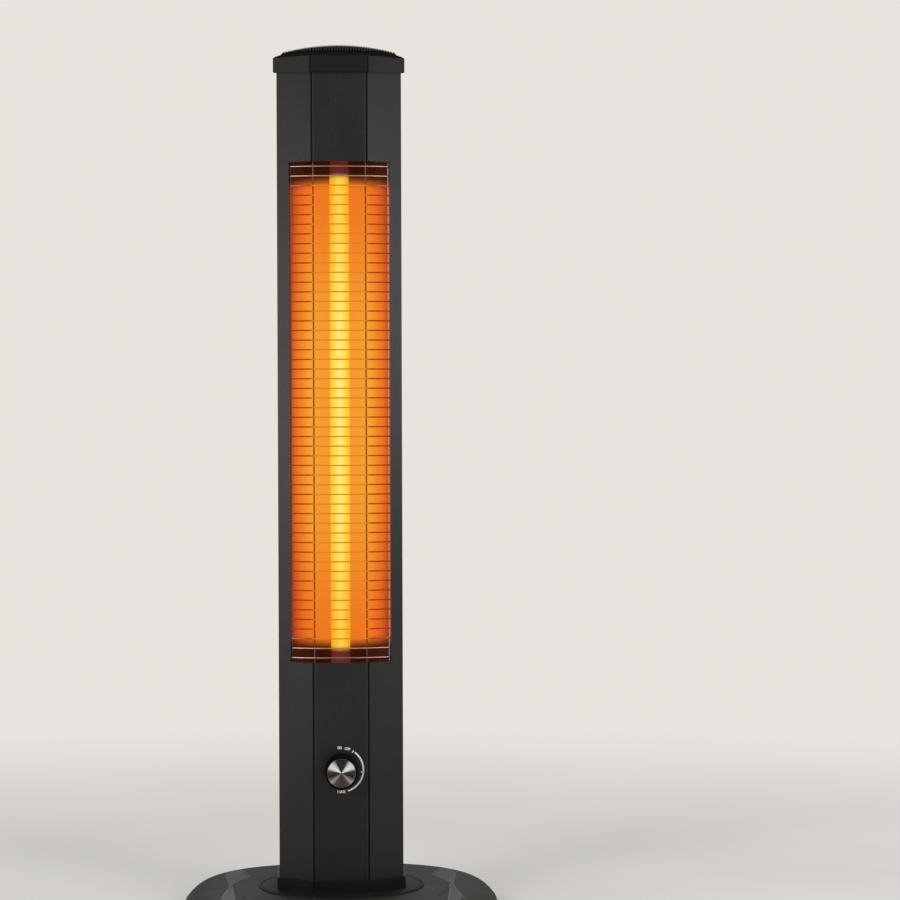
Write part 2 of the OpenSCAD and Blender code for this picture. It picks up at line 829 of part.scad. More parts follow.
// Base moulding: one rolled profile swept round a square with large corners, with creased leaves
base_half = base_w / 2;
corner_c = base_half - base_corner_r;
function roll_height(s) =
    base_top - (base_top - base_edge) * pow(1 - min(s, base_roll) / base_roll, roll_power);
roll_steps = 11;
function roll_profile(t, low) = concat(
    [[-1, low], [base_corner_r - t, low]],
    [for (i = [0:roll_steps])
        let (s = base_roll * pow(i / roll_steps, 1.5))
        [base_corner_r - t - s, roll_height(s) - t]],
    [[-1, base_top - t]]
);
module base_form(t, low) {
    profile = roll_profile(t, low);
    side = [for (p = profile) [p.x < 0 ? -corner_c : p.x, p.y]];
    corner = [for (p = profile) [max(p.x, 0), p.y]];
    for (a = [0:90:270])
        rotate([0, 0, a]) {
            translate([corner_c, corner_c, 0])
                rotate([90, 0, 0])
                    linear_extrude(2 * corner_c)
                        polygon(side);
            translate([corner_c, corner_c, 0])
                rotate_extrude(angle = 90, $fn = 96)
                    polygon(corner);
        }
}
// Leaf facet in one corner: three bent edges that meet at the side's middle, at a tip and at the rim
leaf_start = [base_half - 52.5, 0];
leaf_tip = [base_half - 75.5, 65];
leaf_rim_in = [base_half - 50, 152];
leaf_rim_out = [base_half - 38, 150];
function bend(a, m, b, n) = [for (i = [0:n - 1]) let (t = i / n) (1 - t) ^ 2 * a + 2 * t * (1 - t) * m + t ^ 2 * b];
leaf_outline = concat(
    bend(leaf_start, (leaf_start + leaf_rim_out) / 2 + [6, 0], leaf_rim_out, 8),
    [leaf_rim_out],
    bend(leaf_rim_in, (leaf_rim_in + leaf_tip) / 2 + [-3, 0], leaf_tip, 6),
    bend(leaf_tip, (leaf_tip + leaf_start) / 2 + [6, 3], leaf_start, 6)
);
leaf_turn = atan2(leaf_rim_out.y - leaf_start.y, leaf_rim_out.x - leaf_start.x);
leaf_tilt = atan(leaf_depth / 30);
module leaf_cut() {
    intersection() {
        translate([0, 0, base_edge])
            linear_extrude(base_top)
                polygon(leaf_outline);
        translate([leaf_start.x, leaf_start.y, base_top])
            rotate([0, 0, leaf_turn])
                rotate([-leaf_tilt, 0, 0])
                    translate([-20, -40, 0])
                        cube([220, 120, 30]);
    }
}
module each_quarter() {
    for (x = [0, 1], y = [0, 1])
        mirror([x, 0, 0])
            mirror([0, y, 0])
                children();
}
base_under = foot_h;
plate_inset = base_wall + 3 * gap;
base_screw_at = [base_half - 45, corner_c + 13.5];
base_screw_d = 3.5;
base_plate_t = 2.4;
module base_shell() {
    plate_top = base_under + base_plate_t;
    color("#2a2a2c")
    difference() {
        union() {
            difference() {
                base_form(0, base_under);
                base_form(base_wall, base_under - 1);
            }
            each_quarter()
                translate([base_screw_at.x, base_screw_at.y, plate_top + 0.1])
                    cylinder(d = 9, h = base_top - base_wall + 0.8 - plate_top);
        }
        each_quarter()
            leaf_cut();
        each_quarter()
            translate([base_screw_at.x, base_screw_at.y, plate_top - 1])
                cylinder(d = base_screw_d - grip, h = 13);
        for (a = [45:90:315])
            rotate([0, 0, a])
                translate([foot_screw_r, 0, base_top - base_wall - 1])
                    cylinder(d = foot_screw_d + gap, h = base_wall + 2);
    }
}

// Underside plate, steel ballast, feet and screws
tip_at = [0, -(base_half - 58)];
tip_hole_d = 8.6;
module rounded_plate(t) {
    r = base_corner_r - t;
    for (x = [-1, 1], y = [-1, 1])
        translate([x * corner_c, y * corner_c])
            circle(r = r);
    square([2 * corner_c, 2 * (corner_c + r)], center = true);
    square([2 * (corner_c + r), 2 * corner_c], center = true);
}
module base_plate() {
    color("#303032")
    difference() {
        translate([0, 0, base_under])
            linear_extrude(base_plate_t)
                rounded_plate(plate_inset);
        translate([tip_at.x, tip_at.y, base_under - 1])
            cylinder(d = tip_hole_d, h = base_plate_t + 2);
        each_quarter()
            translate([base_screw_at.x, base_screw_at.y, base_under - 1])
                cylinder(d = base_screw_d + gap, h = base_plate_t + 2);
    }
}
ballast_d = 190;
ballast_t = 9;
module ballast_plate() {
    color("#6a6a68")
        translate([0, 0, base_under + base_plate_t])
            cylinder(d = ballast_d, h = ballast_t);
}
foot_at = 108;
module rubber_feet() {
    color("#111112")
    each_quarter()
        translate([foot_at, foot_at, 0]) {
            cylinder(d1 = foot_d - 3, d2 = foot_d, h = 1.5);
            translate([0, 0, 1.5])
                cylinder(d = foot_d, h = foot_h - 1.5);
        }
}
module base_screws() {
    head_t = 1.8;
    color(steel)
    each_quarter()
        translate([base_screw_at.x, base_screw_at.y, base_under - head_t]) {
            cylinder(d = base_screw_d + 3.5, h = head_t);
            cylinder(d = base_screw_d, h = head_t + base_plate_t + 10);
        }
}

// Tip-over switch: the floor holds the plunger up, and its spring drops it when the heater is lifted
tip_travel = 4;
plunger_d = 8;
plunger_flange_d = 13;
plunger_flange_z = base_under + base_plate_t + tip_travel + 0.4;
plunger_flange_t = 1.6;
tip_top = base_top - base_wall - 0.6;
tip_roof = 1.6;
tip_body_d = 18;
tip_bore_d = 14;
module tip_switch() {
    floor_z = base_under + base_plate_t;
    color("#d9d4c8")
        translate([tip_at.x, tip_at.y, 0])
            difference() {
                union() {
                    translate([0, 0, floor_z])
                        cylinder(d = tip_body_d, h = tip_top - floor_z);
                    translate([0, -6, floor_z])
                        cube([24, 12, tip_top - floor_z]);
                }
                translate([0, 0, floor_z - 1])
                    cylinder(d = tip_bore_d, h = tip_top - floor_z - tip_roof + 1);
            }
}
module tip_plunger() {
    color("#e2ddd0")
        translate([tip_at.x, tip_at.y, 0]) {
            cylinder(d1 = plunger_d - 2, d2 = plunger_d, h = 1);
            translate([0, 0, 1])
                cylinder(d = plunger_d, h = plunger_flange_z - 1);
            translate([0, 0, plunger_flange_z])
                cylinder(d = plunger_flange_d, h = plunger_flange_t);
            translate([0, 0, plunger_flange_z + plunger_flange_t])
                cylinder(d = 4.4, h = tip_top - tip_roof - plunger_flange_z - plunger_flange_t - 2);
        }
}
tip_spring_z0 = plunger_flange_z + plunger_flange_t + 0.05;
tip_spring_z1 = tip_top - tip_roof - 0.05;
tip_spring_wire = 0.7;
tip_spring_path = helix_path(4.6, 5, tip_spring_z0, tip_spring_z1, 1.4, 1.4);
module tip_spring() {
    echo(least_gap_of_tip_spring = self_gap(tip_spring_path, tip_spring_wire));
    color(steel)
        translate([tip_at.x, tip_at.y, 0])
            wire_skin(tip_spring_path, tip_spring_wire / 2);
}

front_casing();
rear_cover();
top_cap();
top_grille();
guard_bars();
guard_uprights();
reflector();
reflector_end_top();
reflector_end_bottom();
heat_shield();
quartz_tube();
mica_core();
heating_coil();
tube_cap_top();
tube_cap_bottom();
thermal_cutout();
terminal_block();
lead_wires();
control_switch();
control_nut();
control_shaft();
knob_body();
knob_face();
cable_gland();
column_foot();
base_shell();
base_plate();
ballast_plate();
rubber_feet();
base_screws();
foot_screws();
rear_screws();
tip_switch();
tip_plunger();
tip_spring();
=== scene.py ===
import math

import bmesh
import bpy
from mathutils import Matrix, Vector


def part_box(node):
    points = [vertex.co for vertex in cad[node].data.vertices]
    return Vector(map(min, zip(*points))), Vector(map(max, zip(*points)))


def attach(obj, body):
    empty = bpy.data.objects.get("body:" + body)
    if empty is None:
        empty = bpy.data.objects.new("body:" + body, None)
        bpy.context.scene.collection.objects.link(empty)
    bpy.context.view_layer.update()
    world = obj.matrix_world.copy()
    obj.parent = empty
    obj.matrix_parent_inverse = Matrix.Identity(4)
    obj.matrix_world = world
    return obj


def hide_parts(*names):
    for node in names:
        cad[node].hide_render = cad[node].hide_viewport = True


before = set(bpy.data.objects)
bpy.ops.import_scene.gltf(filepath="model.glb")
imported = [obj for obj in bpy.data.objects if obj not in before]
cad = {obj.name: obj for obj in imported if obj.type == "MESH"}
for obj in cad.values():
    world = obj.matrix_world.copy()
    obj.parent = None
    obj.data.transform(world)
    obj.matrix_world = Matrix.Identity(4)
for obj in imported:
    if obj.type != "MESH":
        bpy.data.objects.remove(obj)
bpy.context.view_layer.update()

# Underside of the base: a plain black plastic plate, a steel ballast disc laid on it, four soft rubber feet
# and the screws that hold the plate to the base moulding.
colour, number = "NodeSocketColor", "NodeSocketFloat"
skin_outputs = [("Color", colour), ("Roughness", number), ("Height", number)]
noise_low, noise_high = 0.3, 0.7
skin_depth = 0.00004
line_depth = 0.00003


def new_group(name, takes, gives):
    """An empty shader node group with named inputs and outputs."""
    group = bpy.data.node_groups.new(name, "ShaderNodeTree")
    for label, kind, value in takes:
        socket = group.interface.new_socket(label, in_out="INPUT", socket_type=kind)
        if value is not None:
            socket.default_value = value
    for label, kind in gives:
        group.interface.new_socket(label, in_out="OUTPUT", socket_type=kind)
    return group, group.nodes.new("NodeGroupInput"), group.nodes.new("NodeGroupOutput")


def node(tree, kind, **settings):
    """A node with its settings."""
    made = tree.nodes.new(kind)
    for key, value in settings.items():
        setattr(made, key, value)
    return made


def put(tree, socket, term):
    """Gives an input socket a number, a colour or another node's output; None leaves it as it is."""
    if isinstance(term, (int, float)):
        socket.default_value = term
    elif isinstance(term, (tuple, list)):
        socket.default_value = (*term[:3], 1.0)
    elif term is not None:
        tree.links.new(term, socket)


def maths(tree, operation, first, second=None, third=None, clamp=False):
    """A Math node; each term is a number or an output socket. Returns its output."""
    made = node(tree, "ShaderNodeMath", operation=operation, use_clamp=clamp)
    for socket, term in zip(made.inputs, (first, second, third)):
        put(tree, socket, term)
    return made.outputs[0]


def times(tree, first, second):
    """Two terms multiplied."""
    return maths(tree, "MULTIPLY", first, second)


def noise(tree, vector, scale, detail=2.0, roughness=0.5):
    """A Noise Texture's factor on the given coordinates."""
    made = node(tree, "ShaderNodeTexNoise")
    put(tree, made.inputs["Detail"], detail)
    put(tree, made.inputs["Roughness"], roughness)
    put(tree, made.inputs["Vector"], vector)
    put(tree, made.inputs["Scale"], scale)
    return made.outputs["Fac"]


def mix(tree, factor, first, second, blend="MIX"):
    """A colour mix; each term is a colour or an output socket. Returns its output."""
    made = node(tree, "ShaderNodeMix", data_type="RGBA", blend_type=blend)
    for place, term in ((0, factor), (6, first), (7, second)):
        put(tree, made.inputs[place], term)
    return made.outputs[2]


def smooth_between(tree, value, low, high):
    """0 at low, 1 at high, and a smooth step between them."""
    made = node(tree, "ShaderNodeMapRange", interpolation_type="SMOOTHSTEP")
    for label, term in (("From Min", low), ("From Max", high), ("Value", value)):
        put(tree, made.inputs[label], term)
    return made.outputs["Result"]


def split(tree, vector):
    """A vector's x, y and z."""
    parts = node(tree, "ShaderNodeSeparateXYZ")
    put(tree, parts.inputs[0], vector)
    return parts.outputs


def object_place(tree):
    """Object coordinates, whole and as x, y and z."""
    place = node(tree, "ShaderNodeTexCoord").outputs["Object"]
    return place, split(tree, place)


def fill_skin(group, takes, gives, fleck, gloss, height):
    """Ends a skin's group: two tones mixed by a fleck, a gloss between its two values, and a height."""
    tone = mix(group, fleck, takes.outputs["Tone"], takes.outputs["Light Tone"])
    spread = node(group, "ShaderNodeMapRange")
    for label, term in (("Value", gloss), ("From Min", noise_low), ("From Max", noise_high),
                        ("To Min", takes.outputs["Gloss Low"]), ("To Max", takes.outputs["Gloss High"])):
        put(group, spread.inputs[label], term)
    for label, term in (("Color", tone), ("Roughness", spread.outputs["Result"]), ("Height", height)):
        put(group, gives.inputs[label], term)


# Moulded or sprayed grain: a fine pebbled height, a slow drift of tone and a drift of gloss
grain_group, grain_in, grain_out = new_group(
    "grain",
    [("Tone", colour, None), ("Light Tone", colour, None), ("Scale", number, 900.0),
     ("Gloss Low", number, 0.4), ("Gloss High", number, 0.55)], skin_outputs)
grain_place, _ = object_place(grain_group)
grain_fine = noise(grain_group, grain_place, grain_in.outputs["Scale"], 2.0, 0.6)
grain_slow = noise(grain_group, grain_place, 9.0, 3.0, 0.55)
grain_fleck = maths(grain_group, "MULTIPLY_ADD", grain_fine, 0.6, times(grain_group, grain_slow, 0.4))
grain_mask = smooth_between(grain_group, grain_fleck, 0.36, 0.68)
fill_skin(grain_group, grain_in, grain_out, grain_mask, grain_slow, grain_fine)

# Drawn, rolled or turned metal: fine lines along one axis, over a drift of tone
metal_group, metal_in, metal_out = new_group(
    "metal_lines",
    [("Tone", colour, None), ("Light Tone", colour, None), ("Stretch", "NodeSocketVector", (40.0, 40.0, 1.0)),
     ("Gloss Low", number, 0.25), ("Gloss High", number, 0.4)], skin_outputs)
metal_place, _ = object_place(metal_group)
metal_stretched = node(metal_group, "ShaderNodeVectorMath", operation="MULTIPLY")
put(metal_group, metal_stretched.inputs[0], metal_place)
put(metal_group, metal_stretched.inputs[1], metal_in.outputs["Stretch"])
metal_fine = noise(metal_group, metal_stretched.outputs[0], 40.0, 3.0, 0.6)
metal_slow = noise(metal_group, metal_place, 12.0, 2.0)
metal_mask = smooth_between(metal_group, metal_fine, 0.3, 0.72)
metal_gloss = maths(metal_group, "MULTIPLY_ADD", metal_fine, 0.5, times(metal_group, metal_slow, 0.5))
fill_skin(metal_group, metal_in, metal_out, metal_mask, metal_gloss, metal_fine)


def new_material(name, **sockets):
    """A material with one Principled shader; plain values are set on its own sockets."""
    made = bpy.data.materials.new(name)
    made.use_nodes = True
    shader = made.node_tree.nodes["Principled BSDF"]
    for label, value in sockets.items():
        shader.inputs[label.replace("_", " ")].default_value = value
    return made, made.node_tree, shader


def place_group(tree, group, **values):
    """A node group placed in a material with its own values."""
    made = node(tree, "ShaderNodeGroup", node_tree=group)
    for label, value in values.items():
        put(tree, made.inputs[label.replace("_", " ")], value)
    return made


def grain_skin(tree, tone, light_tone, scale, gloss):
    """The grain's colour, roughness and height, placed in a material."""
    return place_group(tree, grain_group, Tone=tone, Light_Tone=light_tone, Scale=scale,
                       Gloss_Low=gloss[0], Gloss_High=gloss[1]).outputs


def lined_skin(tree, tone, light_tone, stretch, gloss):
    """The lined metal's colour, roughness and height, placed in a material."""
    made = place_group(tree, metal_group, Tone=tone, Light_Tone=light_tone,
                       Gloss_Low=gloss[0], Gloss_High=gloss[1])
    made.inputs["Stretch"].default_value = stretch
    return made.outputs


def add_bump(tree, shader, height, strength, distance):
    """A Bump node from a height to the shader's normal."""
    made = node(tree, "ShaderNodeBump")
    for label, term in (("Strength", strength), ("Distance", distance), ("Height", height)):
        put(tree, made.inputs[label], term)
    put(tree, shader.inputs["Normal"], made.outputs["Normal"])


def lay_skin(tree, shader, skin, bump, depth):
    """Links a placed skin's colour and roughness to the shader, and its height through a bump."""
    put(tree, shader.inputs["Base Color"], skin["Color"])
    put(tree, shader.inputs["Roughness"], skin["Roughness"])
    add_bump(tree, shader, skin["Height"], bump, depth)


def grained(name, tone, light_tone, scale, gloss, bump, **sockets):
    """A grained material, such as powder coat, moulded plastic or rubber."""
    made, tree, shader = new_material(name, **sockets)
    lay_skin(tree, shader, grain_skin(tree, tone, light_tone, scale, gloss), bump, skin_depth)
    return made


def lined_metal(name, tone, light_tone, stretch, gloss):
    """A metal with fine drawing, rolling or turning lines."""
    made, tree, shader = new_material(name, Metallic=1.0)
    lay_skin(tree, shader, lined_skin(tree, tone, light_tone, stretch, gloss), 0.2, line_depth)
    return made


def dress(name, material):
    """Gives a CAD node its material."""
    slots = cad[name].data.materials
    slots.clear()
    slots.append(material)


underside_black = grained("underside_black", (0.018, 0.018, 0.018), (0.03, 0.03, 0.03),
                          700.0, (0.5, 0.65), 0.35)
foot_rubber = grained("foot_rubber", (0.012, 0.012, 0.012), (0.022, 0.022, 0.021), 1500.0, (0.7, 0.85), 0.5)
ballast_steel = lined_metal("ballast_steel", (0.2, 0.19, 0.18), (0.34, 0.32, 0.3),
                            (1.0, 30.0, 30.0), (0.45, 0.6))
screw_zinc = lined_metal("screw_zinc", (0.42, 0.42, 0.4), (0.6, 0.6, 0.57), (30.0, 30.0, 30.0), (0.25, 0.4))
dress("base_plate", underside_black)
dress("rubber_feet", foot_rubber)
dress("ballast_plate", ballast_steel)
dress("base_screws", screw_zinc)

# Tip-over switch in the base: a moulded housing, a nylon plunger that the floor holds up, and a small
# steel spring that drops it.
switch_housing = grained("switch_housing", (0.5, 0.47, 0.4), (0.58, 0.55, 0.48), 1200.0, (0.45, 0.55), 0.15)
plunger_nylon = grained("plunger_nylon", (0.62, 0.6, 0.53), (0.7, 0.68, 0.62), 1500.0, (0.3, 0.42), 0.1,
                        Subsurface_Weight=0.1)
spring_steel = lined_metal("spring_steel", (0.32, 0.32, 0.32), (0.52, 0.52, 0.5),
                           (20.0, 20.0, 20.0), (0.2, 0.35))
dress("tip_switch", switch_housing)
dress("tip_plunger", plunger_nylon)
dress("tip_spring", spring_steel)

# Base moulding: one satin dark grey injection-moulded shell with creased leaf facets in its four quarters
# and a finely sparked texture.
# Painted light on the leaf facets: paler faces, paler walls over their shade, and painted crease highlights
leaf_painted_light = (0.088, 0.085, 0.077)
back_wall_painted_light = (0.16, 0.152, 0.138)
front_wall_painted_light = (0.105, 0.101, 0.092)
crease_painted_highlight = (0.14, 0.135, 0.122)
leaf_floor_z = 0.0262
brim_z = 0.02
inner_arc_x, inner_arc_y, inner_arc_r = -0.04821, -0.02649, 0.18017
outer_line_x, outer_line_slope = 0.13, 0.0967
front_line_x, front_line_slope = 0.1275, 0.07
inner_reach, front_reach, outer_reach = 0.065, 0.11, 0.12
line_core, line_edge = 0.0003, 0.001
leaf_tilt_full, leaf_tilt_none = -0.06, -0.035
wall_tilt = 0.5
base_satin = grained("base_satin", (0.0248, 0.0218, 0.0176), (0.0392, 0.0348, 0.0285), 1100.0, (0.56, 0.68),
                     0.25, Specular_IOR_Level=0.1)


def minus(tree, first, second):
    """The second term taken from the first."""
    return maths(tree, "SUBTRACT", first, second)


def opposite(tree, mask):
    """A mask turned round."""
    return minus(tree, 1.0, mask)


def unsigned(tree, value):
    """A number without its sign, so that left and right are alike."""
    return maths(tree, "ABSOLUTE", value)


def above(tree, value, edge):
    """A mask where a value is over an edge."""
    return maths(tree, "GREATER_THAN", value, edge)


def below(tree, value, edge):
    """A mask where a value is under an edge."""
    return maths(tree, "LESS_THAN", value, edge)


def facing(tree):
    """The way a face looks, as x, y and z."""
    return split(tree, node(tree, "ShaderNodeNewGeometry").outputs["True Normal"])


def flat_length(tree, first, second):
    """The length of two coordinates taken together, such as a radius."""
    pair = node(tree, "ShaderNodeCombineXYZ")
    put(tree, pair.inputs["X"], first)
    put(tree, pair.inputs["Y"], second)
    length = node(tree, "ShaderNodeVectorMath", operation="LENGTH")
    put(tree, length.inputs[0], pair.outputs[0])
    return length.outputs["Value"]


def feeding(shader, label):
    """The output that feeds one of the shader's sockets."""
    return shader.inputs[label].links[0].from_socket


# The leaf facets' painted light: paler faces where they tilt towards the light, a paler low wall round each
# that paints out the shade on it, and a thin painted highlight on each crease
leaf_group, leaf_in, leaf_out = new_group("leaf_facet_painted_light", [("Tone", colour, None)], [("Color", colour)])
_, leaf_parts = object_place(leaf_group)
leaf_side = unsigned(leaf_group, leaf_parts["X"])
leaf_along = unsigned(leaf_group, leaf_parts["Y"])
leaf_facing = facing(leaf_group)
leaf_slope = times(leaf_group, leaf_facing["X"], maths(leaf_group, "SIGN", leaf_parts["X"]))
leaf_face = opposite(leaf_group, smooth_between(leaf_group, leaf_slope, leaf_tilt_full, leaf_tilt_none))
leaf_wall = times(leaf_group, below(leaf_group, leaf_facing["Z"], wall_tilt),
                  above(leaf_group, leaf_parts["Z"], leaf_floor_z))


def thin_line(off, reach):
    """A mask about a millimetre wide where a distance is near nought, up to a reach to the front and back."""
    line = opposite(leaf_group, smooth_between(leaf_group, unsigned(leaf_group, off), line_core, line_edge))
    return times(leaf_group, line, below(leaf_group, leaf_along, reach))


inner_off = minus(leaf_group, flat_length(leaf_group, maths(leaf_group, "ADD", leaf_side, -inner_arc_x),
                                          maths(leaf_group, "ADD", leaf_along, -inner_arc_y)), inner_arc_r)
outer_off = minus(leaf_group, minus(leaf_group, leaf_side, outer_line_x),
                  times(leaf_group, leaf_along, outer_line_slope))
front_off = minus(leaf_group, minus(leaf_group, leaf_side, front_line_x),
                  times(leaf_group, leaf_parts["Y"], front_line_slope))
in_front = below(leaf_group, leaf_parts["Y"], 0.0)
at_back = opposite(leaf_group, in_front)
leaf_kept = maths(leaf_group, "MAXIMUM", at_back, above(leaf_group, front_off, 0.0))
inner_crease = times(leaf_group, thin_line(inner_off, inner_reach), at_back)
front_crease = times(leaf_group, thin_line(front_off, front_reach), in_front)
on_top = above(leaf_group, leaf_parts["Z"], brim_z)
crease_highlight_mask = maths(leaf_group, "MAXIMUM", maths(leaf_group, "MAXIMUM", inner_crease, front_crease),
                     times(leaf_group, thin_line(outer_off, outer_reach), 0.5))
crease_highlight_mask = times(leaf_group, crease_highlight_mask, on_top)
leaf_lit_tone = mix(leaf_group, times(leaf_group, leaf_face, leaf_kept), leaf_in.outputs["Tone"], leaf_painted_light)
wall_painted_tone = mix(leaf_group, in_front, back_wall_painted_light, front_wall_painted_light)
leaf_lit_tone = mix(leaf_group, leaf_wall, leaf_lit_tone, wall_painted_tone)
put(leaf_group, leaf_out.inputs["Color"], mix(leaf_group, crease_highlight_mask, leaf_lit_tone, crease_painted_highlight))

base_tree = base_satin.node_tree
base_shader = base_tree.nodes["Principled BSDF"]
base_leaf_light = place_group(base_tree, leaf_group)
put(base_tree, base_leaf_light.inputs["Tone"], feeding(base_shader, "Base Color"))
put(base_tree, base_shader.inputs["Base Color"], base_leaf_light.outputs["Color"])
dress("base_shell", base_satin)

# Foot of the column: a black glossy moulded collar that grips the casing, on a round stepped flange
# that is screwed to the base from below.
flange_top_z, collar_z = 0.0317, 0.0320
ring_gap_r, ring_gap_half = 0.0929, 0.0007
gap_painted_shadow = (0.002, 0.002, 0.002)
collar_coat = 0.12
foot_gloss, foot_tree, foot_shader = new_material("foot_gloss", Specular_IOR_Level=0.1, Coat_Roughness=0.1)
_, foot_parts = object_place(foot_tree)
collar_skin = grain_skin(foot_tree, (0.003, 0.003, 0.003), (0.0065, 0.0064, 0.0062), 500.0, (0.42, 0.5))
flange_skin = grain_skin(foot_tree, (0.007, 0.0067, 0.0058), (0.013, 0.0125, 0.011), 1100.0, (0.56, 0.68))
is_collar = smooth_between(foot_tree, foot_parts["Z"], flange_top_z, collar_z)
foot_radius = flat_length(foot_tree, foot_parts["X"], foot_parts["Y"])
# Painted shadow: a thin black ring where the gap at the flange's step lies in shade
ring_gap = maths(foot_tree, "COMPARE", foot_radius, ring_gap_r, ring_gap_half)
foot_tone = mix(foot_tree, is_collar, flange_skin["Color"], collar_skin["Color"])
put(foot_tree, foot_shader.inputs["Base Color"], mix(foot_tree, ring_gap, foot_tone, gap_painted_shadow))
foot_rough = times(foot_tree, opposite(foot_tree, is_collar), flange_skin["Roughness"])
foot_rough = maths(foot_tree, "MULTIPLY_ADD", is_collar, collar_skin["Roughness"], foot_rough)
put(foot_tree, foot_shader.inputs["Roughness"], foot_rough)
put(foot_tree, foot_shader.inputs["Coat Weight"], times(foot_tree, is_collar, collar_coat))
add_bump(foot_tree, foot_shader, flange_skin["Height"], 0.1, skin_depth)
dress("column_foot", foot_gloss)
dress("foot_screws", screw_zinc)

# Column casing: one folded steel sheet with a flat middle panel and two side facets, sprayed with a fine
# black powder coat; the window is punched through all three.
casing_groove_x = 0.0315
groove_core, groove_edge = 0.00095, 0.0013
highlight_line_at, highlight_line_half = -0.0019, 0.0005
front_faces_y = -0.052
dark_from_z, dark_to_z = 0.33, 0.03
# Painted light on the casing and cap: painted shade in the grooves, a thin painted highlight along the middle
# panel's edges, and painted shade towards the bottom
edge_painted_highlight = (0.026, 0.0255, 0.0245)
low_painted_shade = (0.45, 0.45, 0.47)
groove_painted_shade = (0.0012, 0.0012, 0.0012)
groove_group, groove_in, groove_out = new_group(
    "panel_groove", [("Tone", colour, None), ("Gloss", number, 0.4), ("Groove X", number, casing_groove_x)],
    [("Color", colour), ("Roughness", number)])
_, groove_parts = object_place(groove_group)
from_groove = minus(groove_group, unsigned(groove_group, groove_parts["X"]), groove_in.outputs["Groove X"])
in_groove = opposite(groove_group, smooth_between(
    groove_group, unsigned(groove_group, from_groove), groove_core, groove_edge))
beside = maths(groove_group, "COMPARE", from_groove, highlight_line_at, highlight_line_half)
on_front = below(groove_group, groove_parts["Y"], front_faces_y)
edge_highlit_tone = mix(groove_group, times(groove_group, beside, on_front), groove_in.outputs["Tone"], edge_painted_highlight)
# Painted shade: the tone grows darker towards the bottom
low_down = opposite(groove_group, smooth_between(groove_group, groove_parts["Z"], dark_to_z, dark_from_z))
panel_tone = mix(groove_group, low_down, edge_highlit_tone, low_painted_shade, blend="MULTIPLY")
in_front_groove = times(groove_group, in_groove, on_front)
put(groove_group, groove_out.inputs["Color"], mix(groove_group, in_front_groove, panel_tone, groove_painted_shade))
put(groove_group, groove_out.inputs["Roughness"],
    maths(groove_group, "MAXIMUM", groove_in.outputs["Gloss"], in_front_groove))


def grooved(material, groove_x):
    """Painted shade in the dull grooves beside the middle panel, a thin painted highlight along the panel's
    edges, and painted shade towards the bottom.
    """
    tree = material.node_tree
    shader = tree.nodes["Principled BSDF"]
    grooves = place_group(tree, groove_group, Groove_X=groove_x)
    put(tree, grooves.inputs["Gloss"], feeding(shader, "Roughness"))
    put(tree, grooves.inputs["Tone"], feeding(shader, "Base Color"))
    put(tree, shader.inputs["Roughness"], grooves.outputs["Roughness"])
    put(tree, shader.inputs["Base Color"], grooves.outputs["Color"])


powder_black = grained("powder_black", (0.0068, 0.0065, 0.0057), (0.0158, 0.0153, 0.0139), 620.0, (0.34, 0.4),
                       0.3, Specular_IOR_Level=0.3)
grooved(powder_black, casing_groove_x)
dress("front_casing", powder_black)

# Rotary switch behind the panel, with its plated nut and steel shaft, which the knob hides from the front:
# a black moulded body, clamped to the panel by the nut.
switch_black = grained("switch_black", (0.012, 0.012, 0.013), (0.02, 0.02, 0.022), 900.0, (0.35, 0.45), 0.15)
shaft_steel = lined_metal("shaft_steel", (0.42, 0.42, 0.41), (0.58, 0.58, 0.56),
                          (2.0, 60.0, 2.0), (0.2, 0.32))
dress("control_switch", switch_black)
dress("control_nut", screw_zinc)
dress("control_shaft", shaft_steel)

# Printed scale beside the knob: pale grey ink printed on the panel, an arc with a start mark and a tick, and
# the words for on, off and the highest setting.
shaft_low, shaft_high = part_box("control_shaft")
knob_axis_x = (shaft_low.x + shaft_high.x) / 2
knob_axis_z = (shaft_low.z + shaft_high.z) / 2
panel_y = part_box("front_casing")[0].y
ink_t = 0.00006
ink_sunk = 0.00002
scale_r = 0.0252
letter_size = 0.0043
letter_bold = 0.05
dial_ink = grained("dial_ink", (0.6, 0.6, 0.58), (0.75, 0.75, 0.73), 2500.0, (0.55, 0.7), 0.1)


def finish_piece(name, mesh, body, material):
    """Turns a bmesh into a piece at the origin that rides on a body."""
    bmesh.ops.recalc_face_normals(mesh, faces=mesh.faces)
    data = bpy.data.meshes.new(name)
    mesh.to_mesh(data)
    mesh.free()
    made = bpy.data.objects.new(name, data)
    bpy.context.scene.collection.objects.link(made)
    data.materials.append(material)
    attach(made, body)
    return made


def at_clock(clock, radius):
    """A point on the panel's plane at a clock angle in degrees and a radius, from the knob's axis."""
    return math.sin(math.radians(clock)) * radius, 0, math.cos(math.radians(clock)) * radius


def arc_band(radius, width, start, end, steps):
    """A flat band round the knob, between two clock angles in degrees."""
    mesh = bmesh.new()
    ends = [mesh.verts.new(at_clock(start, radius + side * width / 2)) for side in (-1, 1)]
    edge = mesh.edges.new(ends)
    bmesh.ops.spin(mesh, geom=[*ends, edge], cent=(0, 0, 0), axis=(0, 1, 0),
                   angle=math.radians(end - start), steps=steps, use_merge=False)
    return mesh


def printed(mesh):
    """Gives flat ink its thickness and sets it on the panel."""
    bmesh.ops.remove_doubles(mesh, verts=mesh.verts, dist=1e-7)
    for face in mesh.faces:
        face.normal_update()
        if face.normal.y > 0:
            face.normal_flip()
    grown = bmesh.ops.extrude_face_region(mesh, geom=mesh.faces[:])
    lifted = [v for v in grown["geom"] if isinstance(v, bmesh.types.BMVert)]
    bmesh.ops.translate(mesh, verts=lifted, vec=(0, -ink_t, 0))
    bmesh.ops.translate(mesh, verts=mesh.verts, vec=(knob_axis_x, panel_y + ink_sunk, knob_axis_z))
    return mesh


